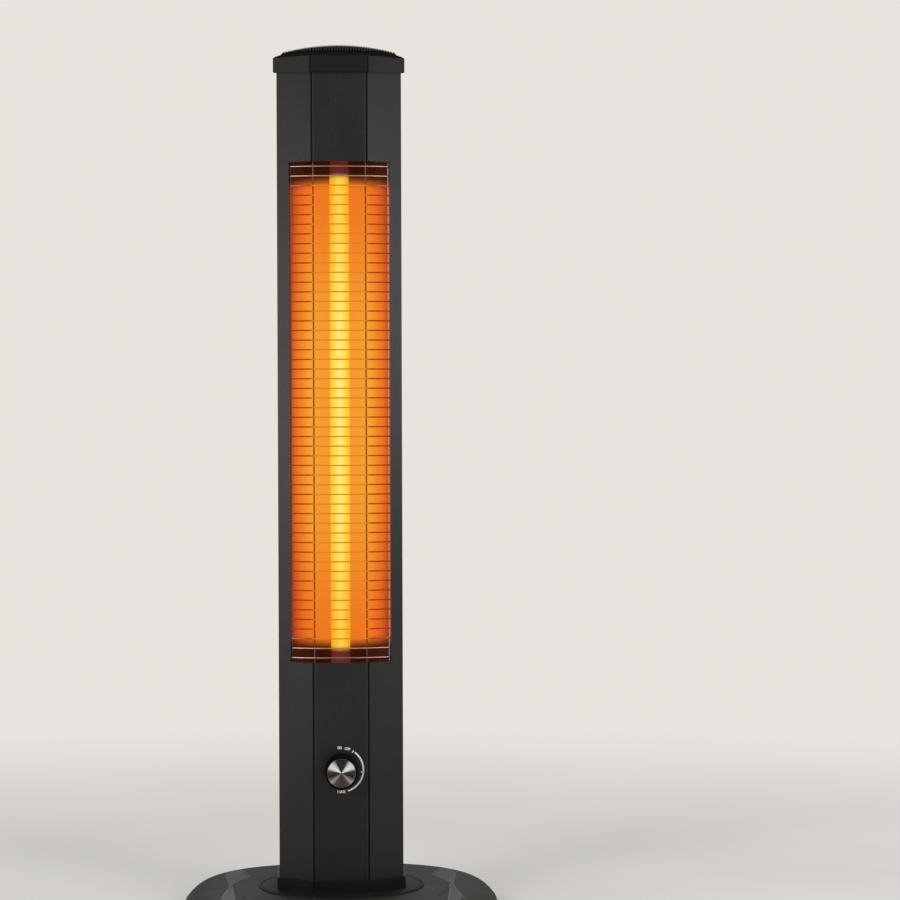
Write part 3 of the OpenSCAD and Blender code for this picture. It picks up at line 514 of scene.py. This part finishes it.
def word(text, clock, radius, turn, narrow):
    """A flat word, narrowed, whose middle lies at a clock angle and radius round the knob."""
    letters = bpy.data.curves.new("letters", "FONT")
    letters.body = text
    letters.size = letter_size
    letters.align_x = "CENTER"
    letters.align_y = "CENTER"
    letters.offset = letter_size * letter_bold
    shown = bpy.data.objects.new("letters", letters)
    bpy.context.scene.collection.objects.link(shown)
    bpy.context.view_layer.update()
    flat = bpy.data.meshes.new_from_object(shown.evaluated_get(bpy.context.evaluated_depsgraph_get()))
    bpy.data.objects.remove(shown)
    mesh = bmesh.new()
    mesh.from_mesh(flat)
    bmesh.ops.scale(mesh, verts=mesh.verts, vec=(narrow, 1, 1))
    for angle, axis in ((90, "X"), (turn, "Y")):
        bmesh.ops.rotate(mesh, verts=mesh.verts, cent=(0, 0, 0),
                         matrix=Matrix.Rotation(math.radians(angle), 3, axis))
    bmesh.ops.translate(mesh, verts=mesh.verts, vec=at_clock(clock, radius))
    return mesh


for ink_name, ink_mesh in (
        ("scale_arc", arc_band(scale_r, 0.0019, 38, 163, 48)),
        ("scale_tick", arc_band(scale_r - 0.0012, 0.0030, 94, 98, 4)),
        ("scale_start", arc_band(scale_r - 0.0004, 0.0032, 31, 34, 4)),
        ("word_on", word("ON", -4.4, 0.0252, 0, 0.72)),
        ("word_off", word("OFF", 16.4, 0.0248, 12, 0.85)),
        ("word_max", word("MAX", 180, 0.0253, 0, 1.0))):
    finish_piece(ink_name, printed(ink_mesh), "heater", dial_ink)

# Knob: a moulded black skirt with fine grip flutes, and a turned aluminium face that is pressed into its
# front.
body_low, body_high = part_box("knob_body")
knob_r = (body_high.z - body_low.z) / 2
knob_front = body_low.y
knob_len = body_high.y - body_low.y
face_low, face_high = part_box("knob_face")
face_r = (face_high.z - face_low.z) / 2
rim_r = face_r + 0.0010
rim_proud = 0.0014
flutes = 60
flute_depth = 0.016
flute_from, flute_to = 0.004, knob_len - 0.0036
bore_r, bore_y = 0.0034, 0.009
hollow_r, hollow_y = knob_r - 0.0022, knob_len - 0.007
skirt_y = knob_len - 0.0014
skirt_sharp, face_sharp = 40, 25
ring_pitch = 0.00042
knob_black = grained("knob_black", (0.0008, 0.0008, 0.0008), (0.002, 0.002, 0.002), 900.0, (0.4, 0.5), 0.12,
                     Specular_IOR_Level=0.03)


def turned(outline, steps):
    """A solid turned round the Y axis from (radius, y) points that start and end on the axis."""
    mesh = bmesh.new()
    points = [mesh.verts.new((radius, y, 0)) for radius, y in outline]
    edges = [mesh.edges.new(pair) for pair in zip(points, points[1:])]
    bmesh.ops.spin(mesh, geom=[*points, *edges], cent=(0, 0, 0), axis=(0, 1, 0), angle=math.tau, steps=steps,
                   use_merge=True)
    bmesh.ops.remove_doubles(mesh, verts=mesh.verts, dist=1e-6)
    return mesh


def shade_smooth(piece, sharp_angle):
    """Shades a piece smooth, apart from edges over an angle in degrees."""
    for polygon in piece.data.polygons:
        polygon.use_smooth = True
    piece.data.set_sharp_from_angle(angle=math.radians(sharp_angle))


skirt = turned([
    (0, 0), (face_r + 0.0001, 0), (face_r + 0.0001, -0.0013), (rim_r - 0.0002, -0.0014),
    (rim_r + 0.0003, -0.0012), (rim_r + 0.0009, -0.0004), (rim_r + 0.0011, 0.0006),
    (rim_r + 0.0012, 0.004), (knob_r - 0.0004, knob_len - 0.0036), (knob_r - 0.0003, knob_len - 0.0030),
    (knob_r, knob_len - 0.0026), (knob_r, knob_len - 0.0018), (knob_r - 0.0004, skirt_y),
    (hollow_r, skirt_y), (hollow_r, hollow_y), (bore_r, hollow_y), (bore_r, bore_y), (0, bore_y)], flutes * 4)
bmesh.ops.translate(skirt, verts=skirt.verts, vec=(knob_axis_x, knob_front + rim_proud, knob_axis_z))
for v in skirt.verts:
    out = Vector((v.co.x - knob_axis_x, 0, v.co.z - knob_axis_z))
    if out.length > rim_r + 0.0010 and flute_from < v.co.y - knob_front < flute_to:
        clock = math.atan2(out.x, out.z)
        out *= 1 - flute_depth * (0.5 + 0.5 * math.cos(clock * flutes))
        v.co.x, v.co.z = knob_axis_x + out.x, knob_axis_z + out.z
skirt_piece = finish_piece("knob_skirt", skirt, "knob", knob_black)
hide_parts("knob_body")
shade_smooth(skirt_piece, skirt_sharp)


def noise_along(tree, value, scale):
    """Noise along one number, such as a radius or an angle."""
    made = node(tree, "ShaderNodeTexNoise", noise_dimensions="1D")
    put(tree, made.inputs["Scale"], scale)
    put(tree, made.inputs["W"], value)
    return made.outputs["Fac"]


def ramp(tree, value, stops):
    """A colour ramp through (place, colour) stops."""
    made = node(tree, "ShaderNodeValToRGB")
    line = made.color_ramp
    while len(line.elements) < len(stops):
        line.elements.new(0.5)
    for element, (place, tone) in zip(line.elements, stops):
        element.position = place
        element.color = (*tone, 1.0)
    put(tree, made.inputs[0], value)
    return made.outputs[0]


# Turned face: shallow rings cut into aluminium, with painted reflections, the bright and dark wedges that
# such a face shows, and a painted highlight on its rim
face_metal, face_tree, face_shader = new_material("turned_aluminium", Metallic=1.0, Roughness=0.3,
                                                  Anisotropic=0.8)
face_centred = node(face_tree, "ShaderNodeMapping")
face_centred.inputs["Location"].default_value = (-knob_axis_x, 0, -knob_axis_z)
put(face_tree, face_centred.inputs["Vector"], node(face_tree, "ShaderNodeTexCoord").outputs["Object"])
face_parts = split(face_tree, face_centred.outputs[0])
face_radius = flat_length(face_tree, face_parts["X"], face_parts["Z"])
face_rings = maths(face_tree, "SINE", times(face_tree, face_radius, math.tau / ring_pitch))
face_wobble = noise_along(face_tree, face_radius, 2600.0)
face_height = maths(face_tree, "MULTIPLY_ADD", face_rings, 0.5, face_wobble)
add_bump(face_tree, face_shader, face_height, 0.25, line_depth)
face_clock = maths(face_tree, "ARCTAN2", face_parts["X"], face_parts["Z"])
face_streak = noise_along(face_tree, face_clock, 14.0)
face_turn = maths(face_tree, "DIVIDE", unsigned(face_tree, face_clock), math.pi)
face_turn = maths(face_tree, "MULTIPLY_ADD", face_streak, 0.05, minus(face_tree, face_turn, 0.025))
face_painted_reflections = ramp(face_tree, face_turn, [
    (0.0, (0.018, 0.017, 0.016)), (0.14, (0.022, 0.021, 0.02)), (0.20, (0.55, 0.55, 0.54)),
    (0.29, (1.0, 1.0, 1.0)), (0.38, (0.92, 0.92, 0.9)), (0.45, (0.06, 0.056, 0.052)),
    (0.60, (0.02, 0.018, 0.016)), (0.67, (0.14, 0.125, 0.1)), (0.74, (0.44, 0.4, 0.34)),
    (0.82, (0.09, 0.075, 0.055)), (1.0, (0.06, 0.048, 0.036))])
# A painted highlight on the face's rim
rim_painted_highlight = times(face_tree, above(face_tree, face_radius, face_r - 0.0006), 0.55)
face_painted_reflections = mix(face_tree, rim_painted_highlight, face_painted_reflections, (0.5, 0.48, 0.44))
put(face_tree, face_shader.inputs["Base Color"],
    mix(face_tree, times(face_tree, face_wobble, 0.1), face_painted_reflections, (0.3, 0.29, 0.27)))
face_tangent = node(face_tree, "ShaderNodeTangent", direction_type="RADIAL", axis="Y")
put(face_tree, face_shader.inputs["Tangent"], face_tangent.outputs[0])
face_disc = turned([
    (0, 0.0), (0.0006, -0.0001), (face_r - 0.0014, -0.0001), (face_r - 0.0010, -0.0004),
    (face_r - 0.0004, -0.0004), (face_r, 0.0), (face_r, 0.0006), (0, 0.0006)], 96)
bmesh.ops.translate(face_disc, verts=face_disc.verts, vec=(knob_axis_x, knob_front + 0.0010, knob_axis_z))
face_piece = finish_piece("knob_disc", face_disc, "knob", face_metal)
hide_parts("knob_face")
shade_smooth(face_piece, face_sharp)

# Glowing chamber: dark end plates close it above and below, and a bright rolled trough behind the tube throws
# the light forward; the orange it shows where the tube lights it is a painted glow, which fades out towards
# the dark ends.
# The glow's reach up and down: the element's lit length, and the reach of the painted glow on the trough,
# wires and uprights
lit_low, lit_high = 0.3035, 0.858
lit_middle_z, hottest_reach, cooler_reach = 0.58, 0.08, 0.27
lit_bow = 2.6
trough_half = 0.0603
lit_group, lit_in, lit_out = new_group(
    "lit_height", [("Low Fade", number, 0.016), ("High Fade", number, 0.017)],
    [("Lit", number), ("Middle", number)])
_, lit_parts = object_place(lit_group)
lit_bend = times(lit_group, maths(lit_group, "POWER", unsigned(lit_group, lit_parts["X"]), 2.0), lit_bow)
lit_up = smooth_between(lit_group, minus(lit_group, lit_parts["Z"], lit_bend), lit_low,
                        maths(lit_group, "ADD", lit_in.outputs["Low Fade"], lit_low))
lit_down = smooth_between(lit_group, maths(lit_group, "ADD", lit_parts["Z"], lit_bend), lit_high,
                          minus(lit_group, lit_high, lit_in.outputs["High Fade"]))
put(lit_group, lit_out.inputs["Lit"], times(lit_group, lit_up, lit_down))
lit_off_middle = unsigned(lit_group, minus(lit_group, lit_parts["Z"], lit_middle_z))
put(lit_group, lit_out.inputs["Middle"],
    opposite(lit_group, smooth_between(lit_group, lit_off_middle, hottest_reach, cooler_reach)))


def glow(tree, shader, lit, cold, hot):
    """Makes the lit length shine in one colour and the cold ends in another."""
    put(tree, shader.inputs["Emission Color"], mix(tree, lit, cold, hot))


trough_metal, trough_tree, trough_shader = new_material("trough_aluminium", Metallic=1.0,
                                                        Emission_Strength=1.0)
trough_skin = lined_skin(trough_tree, (0.06, 0.032, 0.014), (0.1, 0.055, 0.026),
                         (30.0, 30.0, 1.0), (0.4, 0.52))
lay_skin(trough_tree, trough_shader, trough_skin, 0.2, skin_depth)
_, trough_parts = object_place(trough_tree)
trough_across = maths(trough_tree, "DIVIDE", unsigned(trough_tree, trough_parts["X"]), trough_half)
trough_lit = place_group(trough_tree, lit_group).outputs
# Painted glow: the tube's light on the trough, orange in the middle and red towards its edges
trough_warm = ramp(trough_tree, trough_across, [
    (0.0, (0.84, 0.29, 0.022)), (0.58, (0.86, 0.33, 0.028)), (0.74, (0.80, 0.20, 0.012)),
    (0.86, (0.70, 0.11, 0.010)), (0.95, (0.24, 0.04, 0.012)), (1.0, (0.08, 0.02, 0.008))])
trough_red = ramp(trough_tree, trough_across, [
    (0.0, (0.82, 0.17, 0.014)), (0.58, (0.82, 0.17, 0.012)), (0.74, (0.72, 0.11, 0.010)),
    (0.86, (0.46, 0.055, 0.010)), (0.95, (0.10, 0.015, 0.008)), (1.0, (0.04, 0.01, 0.006))])
trough_painted_glow = mix(trough_tree, trough_lit["Middle"], trough_red, trough_warm)
glow(trough_tree, trough_shader, trough_lit["Lit"], (0.022, 0.0035, 0.0015), trough_painted_glow)
dress("reflector", trough_metal)
end_plate_dark = lined_metal("end_plate_dark", (0.05, 0.03, 0.026), (0.09, 0.055, 0.045),
                             (1.0, 30.0, 30.0), (0.4, 0.55))
dress("reflector_end_top", end_plate_dark)
dress("reflector_end_bottom", end_plate_dark)

# Heating element: an unglazed ceramic cap on each end of a quartz tube, a mica strip down its middle and a
# coil of resistance wire round the strip; the lit length hides what is inside it.
tube_r = 0.011
tube_fade = 0.009
mottle_scale, mottle_depth = 240.0, 1.1
unlit_alpha = 0.55
cap_ceramic = grained("cap_ceramic", (0.55, 0.52, 0.45), (0.68, 0.65, 0.58), 800.0, (0.6, 0.75), 0.3)
mica_sheet = grained("mica_sheet", (0.28, 0.2, 0.11), (0.42, 0.32, 0.19), 400.0, (0.3, 0.5), 0.3)
dress("tube_cap_top", cap_ceramic)
dress("tube_cap_bottom", cap_ceramic)
dress("mica_core", mica_sheet)

coil_wire, coil_tree, coil_shader = new_material("coil_wire", Metallic=1.0, Roughness=0.5,
                                                 Emission_Strength=1.0)
coil_lit = place_group(coil_tree, lit_group).outputs
glow(coil_tree, coil_shader, coil_lit["Lit"], (0.02, 0.004, 0.002), (1.0, 0.45, 0.08))
coil_noise = noise(coil_tree, object_place(coil_tree)[0], 900.0)
put(coil_tree, coil_shader.inputs["Base Color"],
    mix(coil_tree, coil_noise, (0.10, 0.08, 0.07), (0.22, 0.18, 0.16)))
dress("heating_coil", coil_wire)

tube_quartz, tube_tree, tube_shader = new_material("tube_quartz", Roughness=0.3, Emission_Strength=1.0,
                                                   Specular_IOR_Level=0.06)
tube_place, tube_parts = object_place(tube_tree)
tube_lit = place_group(tube_tree, lit_group, Low_Fade=tube_fade, High_Fade=tube_fade).outputs
tube_across = maths(tube_tree, "DIVIDE", unsigned(tube_tree, tube_parts["X"]), tube_r)
tube_stretch = node(tube_tree, "ShaderNodeMapping")
tube_stretch.inputs["Scale"].default_value = (1.0, 1.0, 0.5)
put(tube_tree, tube_stretch.inputs["Vector"], tube_place)
tube_mottle = noise(tube_tree, tube_stretch.outputs[0], mottle_scale, 2.0)
tube_tone = maths(tube_tree, "MULTIPLY_ADD", tube_mottle, mottle_depth,
                  minus(tube_tree, tube_across, mottle_depth / 2))
tube_hot = ramp(tube_tree, tube_tone, [
    (0.0, (0.94, 0.81, 0.22)), (0.25, (0.94, 0.75, 0.12)), (0.6, (0.94, 0.67, 0.05)),
    (0.95, (0.93, 0.57, 0.03))])
tube_red = ramp(tube_tree, tube_tone, [
    (0.0, (0.93, 0.63, 0.06)), (0.25, (0.92, 0.57, 0.035)), (0.6, (0.90, 0.49, 0.02)),
    (0.95, (0.87, 0.38, 0.014))])
tube_shine = mix(tube_tree, tube_lit["Middle"], tube_red, tube_hot)
glow(tube_tree, tube_shader, tube_lit["Lit"], (0.09, 0.012, 0.008), tube_shine)
put(tube_tree, tube_shader.inputs["Base Color"],
    mix(tube_tree, tube_lit["Lit"], (0.10, 0.03, 0.03), (0.06, 0.03, 0.01)))
put(tube_tree, tube_shader.inputs["Alpha"],
    maths(tube_tree, "MULTIPLY_ADD", tube_lit["Lit"], 1 - unlit_alpha, unlit_alpha, clamp=True))
dress("quartz_tube", tube_quartz)

# Window guard: fifty-two bent steel wires welded across uprights; the wires are dark brown where the tube
# glows, with a painted orange glow for its light on them, and stay pale and pinkish at the cold ends of the
# window.
unlit = (0.0, 0.0, 0.0)
bright_wires_x, dark_wires_x = 0.028, 0.036
wire_low_fade, wire_high_fade = 0.018, 0.017
upright_fade = 0.016
rod_from_x, rod_x = 0.045, 0.050
wire_steel, wire_tree, wire_shader = new_material("guard_wires", Metallic=1.0, Emission_Strength=1.0)
wire_skin = lined_skin(wire_tree, (0.40, 0.25, 0.22), (0.62, 0.42, 0.37), (2.0, 40.0, 40.0), (0.25, 0.4))
_, wire_parts = object_place(wire_tree)
wire_lit = place_group(wire_tree, lit_group, Low_Fade=wire_low_fade, High_Fade=wire_high_fade).outputs
# Painted glow of the tube's light on the wires, stronger in front of the tube
wire_centre = opposite(wire_tree, smooth_between(
    wire_tree, unsigned(wire_tree, wire_parts["X"]), bright_wires_x, dark_wires_x))
put(wire_tree, wire_shader.inputs["Base Color"],
    mix(wire_tree, wire_lit["Lit"], wire_skin["Color"], (0.035, 0.018, 0.01)))
put(wire_tree, wire_shader.inputs["Roughness"], wire_skin["Roughness"])
wire_painted_glow = mix(wire_tree, wire_centre, (0.26, 0.03, 0.002), (0.70, 0.21, 0.016))
glow(wire_tree, wire_shader, wire_lit["Lit"], unlit, wire_painted_glow)
dress("guard_bars", wire_steel)

# The inner uprights are dark all the way up; all carry a painted glow for the tube's light, and of the side
# rods the right one is painted lighter, with a stronger painted glow, where it catches more light
upright_steel, upright_tree, upright_shader = new_material("guard_uprights", Metallic=1.0,
                                                           Emission_Strength=1.0)
upright_skin = lined_skin(upright_tree, (0.26, 0.16, 0.14), (0.38, 0.25, 0.22),
                          (40.0, 40.0, 2.0), (0.4, 0.55))
_, upright_parts = object_place(upright_tree)
upright_lit = place_group(upright_tree, lit_group, Low_Fade=upright_fade, High_Fade=upright_fade).outputs
is_rod = smooth_between(upright_tree, unsigned(upright_tree, upright_parts["X"]), rod_from_x, rod_x)
# Painted light: the right side rod is lighter and glows more
is_right = above(upright_tree, upright_parts["X"], 0.0)
rod_cold = mix(upright_tree, is_right, (0.07, 0.045, 0.04), upright_skin["Color"])
rod_painted_glow = mix(upright_tree, is_right, (0.10, 0.022, 0.012), (0.42, 0.09, 0.028))
rod_hot = mix(upright_tree, 0.5, rod_cold, (0.12, 0.05, 0.03))
upright_cold = mix(upright_tree, is_rod, (0.15, 0.075, 0.06), rod_cold)
upright_painted_glow = mix(upright_tree, is_rod, (0.10, 0.014, 0.004), rod_painted_glow)
upright_hot = mix(upright_tree, is_rod, (0.06, 0.02, 0.01), rod_hot)
put(upright_tree, upright_shader.inputs["Base Color"],
    mix(upright_tree, upright_lit["Lit"], upright_cold, upright_hot))
put(upright_tree, upright_shader.inputs["Roughness"], upright_skin["Roughness"])
glow(upright_tree, upright_shader, upright_lit["Lit"], unlit, upright_painted_glow)
dress("guard_uprights", upright_steel)

# Behind the chamber: a plain steel heat shield, an overheat cut-out on the upper end plate, a ceramic
# terminal block under the lower one, and red silicone-sleeved leads.
shield_steel = lined_metal("shield_steel", (0.36, 0.36, 0.35), (0.5, 0.5, 0.49),
                           (30.0, 30.0, 1.0), (0.35, 0.5))
lead_silicone = grained("lead_silicone", (0.22, 0.018, 0.012), (0.3, 0.03, 0.02), 1500.0, (0.5, 0.6), 0.2)
block_ceramic = grained("block_ceramic", (0.58, 0.55, 0.48), (0.7, 0.67, 0.6), 600.0, (0.4, 0.5), 0.2)
dress("heat_shield", shield_steel)
dress("thermal_cutout", screw_zinc)
dress("terminal_block", block_ceramic)
dress("lead_wires", lead_silicone)

# Rear cover: a shallow sheet pan with two groups of vent slots, fixed by eight screws in deep wells, with
# a black nylon gland where the cord goes in.
gland_nylon = grained("gland_nylon", (0.01, 0.01, 0.011), (0.018, 0.018, 0.019), 900.0, (0.4, 0.5), 0.2)
dress("rear_cover", powder_black)
dress("cable_gland", gland_nylon)
dress("rear_screws", screw_zinc)

# Top cap: a moulded cap with rounded shoulders that overhangs the casing, and in it a domed vent of thin
# ribs that run from front to back.
cap_groove_x = 0.03283
cap_middle_half = 0.0328
cap_coat = 0.36
shoulder_from, shoulder_full = 0.2, 0.6
shoulder_painted_shade = (0.014, 0.0106, 0.0082)
middle_painted_shade = (0.4, 0.38, 0.36)
cap_black = grained("cap_black", (0.0115, 0.0109, 0.0096), (0.021, 0.0199, 0.0178), 620.0, (0.42, 0.5), 0.3,
                    Specular_IOR_Level=0.0, Coat_Roughness=0.45)
grooved(cap_black, cap_groove_x)
cap_tree = cap_black.node_tree
cap_shader = cap_tree.nodes["Principled BSDF"]
# Painted shade: the upward-facing shoulders are painted dark brown and lose their coat
cap_upper = smooth_between(cap_tree, facing(cap_tree)["Z"], shoulder_from, shoulder_full)
cap_middle = below(cap_tree, unsigned(cap_tree, object_place(cap_tree)[1]["X"]), cap_middle_half)
# Painted shade: the cap's middle panel is darkened
cap_tone = mix(cap_tree, cap_middle, feeding(cap_shader, "Base Color"), middle_painted_shade, blend="MULTIPLY")
put(cap_tree, cap_shader.inputs["Base Color"], mix(cap_tree, cap_upper, cap_tone, shoulder_painted_shade))
put(cap_tree, cap_shader.inputs["Coat Weight"],
    maths(cap_tree, "MULTIPLY_ADD", cap_upper, -cap_coat, cap_coat))
# The grille is black plastic, darkened further as painted shade for the top, which little light reaches
grille_black_and_shade = grained("grille_black_and_shade", (0.0065, 0.005, 0.004), (0.013, 0.01, 0.008), 1300.0, (0.65, 0.8),
                       0.25, Specular_IOR_Level=0.02)
dress("top_cap", cap_black)
dress("top_grille", grille_black_and_shade)

# Studio: a pale plaster floor in an even pale room, two large soft lamps in front at the left and right, a
# small low one at each side and a wide one behind.
backdrop = (0.80, 0.775, 0.735)
floor_shade = (0.76, 0.735, 0.695)
floor_half = 12.0
floor_fades_at, floor_gone_at = 0.5, 1.9
room_strength = 0.42
floor_mesh = bmesh.new()
bmesh.ops.create_grid(floor_mesh, x_segments=8, y_segments=8, size=floor_half)
floor_data = bpy.data.meshes.new("floor")
floor_mesh.to_mesh(floor_data)
floor_mesh.free()
floor = bpy.data.objects.new("floor", floor_data)
bpy.context.scene.collection.objects.link(floor)
floor_pale, floor_tree, floor_shader = new_material("floor_pale", Roughness=0.75, Specular_IOR_Level=0.2)
floor_place, _ = object_place(floor_tree)
floor_cloud = noise(floor_tree, floor_place, 3.0, 4.0)
put(floor_tree, floor_shader.inputs["Base Color"],
    ramp(floor_tree, floor_cloud, [(noise_low, floor_shade), (noise_high, backdrop)]))
floor_far = node(floor_tree, "ShaderNodeVectorMath", operation="LENGTH")
put(floor_tree, floor_far.inputs[0], floor_place)
floor_melts = smooth_between(floor_tree, floor_far.outputs["Value"], floor_fades_at, floor_gone_at)


def seen_as_backdrop(tree, lit, seen, share, surface):
    """Shows the camera a share of a surface in the backdrop's colour; all else meets its lit shader."""
    put(tree, seen.inputs["Color"], backdrop)
    blend = node(tree, "ShaderNodeMixShader")
    for place, term in enumerate((share, lit.outputs[0], seen.outputs[0])):
        put(tree, blend.inputs[place], term)
    put(tree, surface, blend.outputs[0])


floor_rays = node(floor_tree, "ShaderNodeLightPath").outputs["Is Camera Ray"]
seen_as_backdrop(floor_tree, floor_shader, node(floor_tree, "ShaderNodeEmission"),
                 times(floor_tree, floor_melts, floor_rays),
                 floor_tree.nodes["Material Output"].inputs["Surface"])
floor_data.materials.append(floor_pale)

world = bpy.data.worlds.new("room")
bpy.context.scene.world = world
world.use_nodes = True
world_tree = world.node_tree
room_light = world_tree.nodes["Background"]
put(world_tree, room_light.inputs["Color"], (0.97, 0.97, 1.0))
put(world_tree, room_light.inputs["Strength"], room_strength)
seen_as_backdrop(world_tree, room_light, node(world_tree, "ShaderNodeBackground"),
                 node(world_tree, "ShaderNodeLightPath").outputs["Is Camera Ray"],
                 world_tree.nodes["World Output"].inputs["Surface"])


def soft_lamp(name, place, target, size, power):
    """An oblong area lamp that looks at a point."""
    light = bpy.data.lights.new(name, "AREA")
    light.shape = "RECTANGLE"
    light.size, light.size_y = size
    light.energy = power
    lamp = bpy.data.objects.new(name, light)
    bpy.context.scene.collection.objects.link(lamp)
    lamp.location = place
    lamp.rotation_euler = (Vector(target) - Vector(place)).to_track_quat("-Z", "Y").to_euler()


soft_lamp("lamp_left", (-1.9, -2.3, 1.5), (0, 0, 0.75), (1.2, 1.4), 38.0)
soft_lamp("lamp_right", (1.9, -2.3, 1.7), (0, 0, 0.8), (1.2, 1.4), 30.0)
soft_lamp("strip_left", (-1.75, -0.62, 0.61), (0, 0, 0.6), (0.4, 0.5), 5.0)
soft_lamp("strip_right", (1.75, -0.62, 0.73), (0, 0, 0.65), (0.4, 0.5), 4.8)
soft_lamp("lamp_rear", (0.4, 2.6, 2.4), (0, 0, 0.5), (2.0, 1.2), 26.0)

bpy.context.scene.view_settings.view_transform = "Standard"

# Camera: a long lens in front of the heater, a little over half its height, turned and tipped in degrees
camera_yaw, camera_pitch, camera_roll = -2.574, -1.207, 0.163
lens = bpy.data.cameras.new("camera")
lens.sensor_width = 36.0
lens.lens = 111.596
camera = bpy.data.objects.new("camera", lens)
bpy.context.scene.collection.objects.link(camera)
camera.location = (-0.0178, -3.2460, 0.6054)
camera_turn = Matrix.Identity(3)
for angle, axis in ((camera_yaw, "Z"), (camera_pitch, "X"), (camera_roll, "Y"), (90, "X")):
    camera_turn = camera_turn @ Matrix.Rotation(math.radians(angle), 3, axis)
camera.rotation_euler = camera_turn.to_euler()
bpy.context.scene.camera = camera
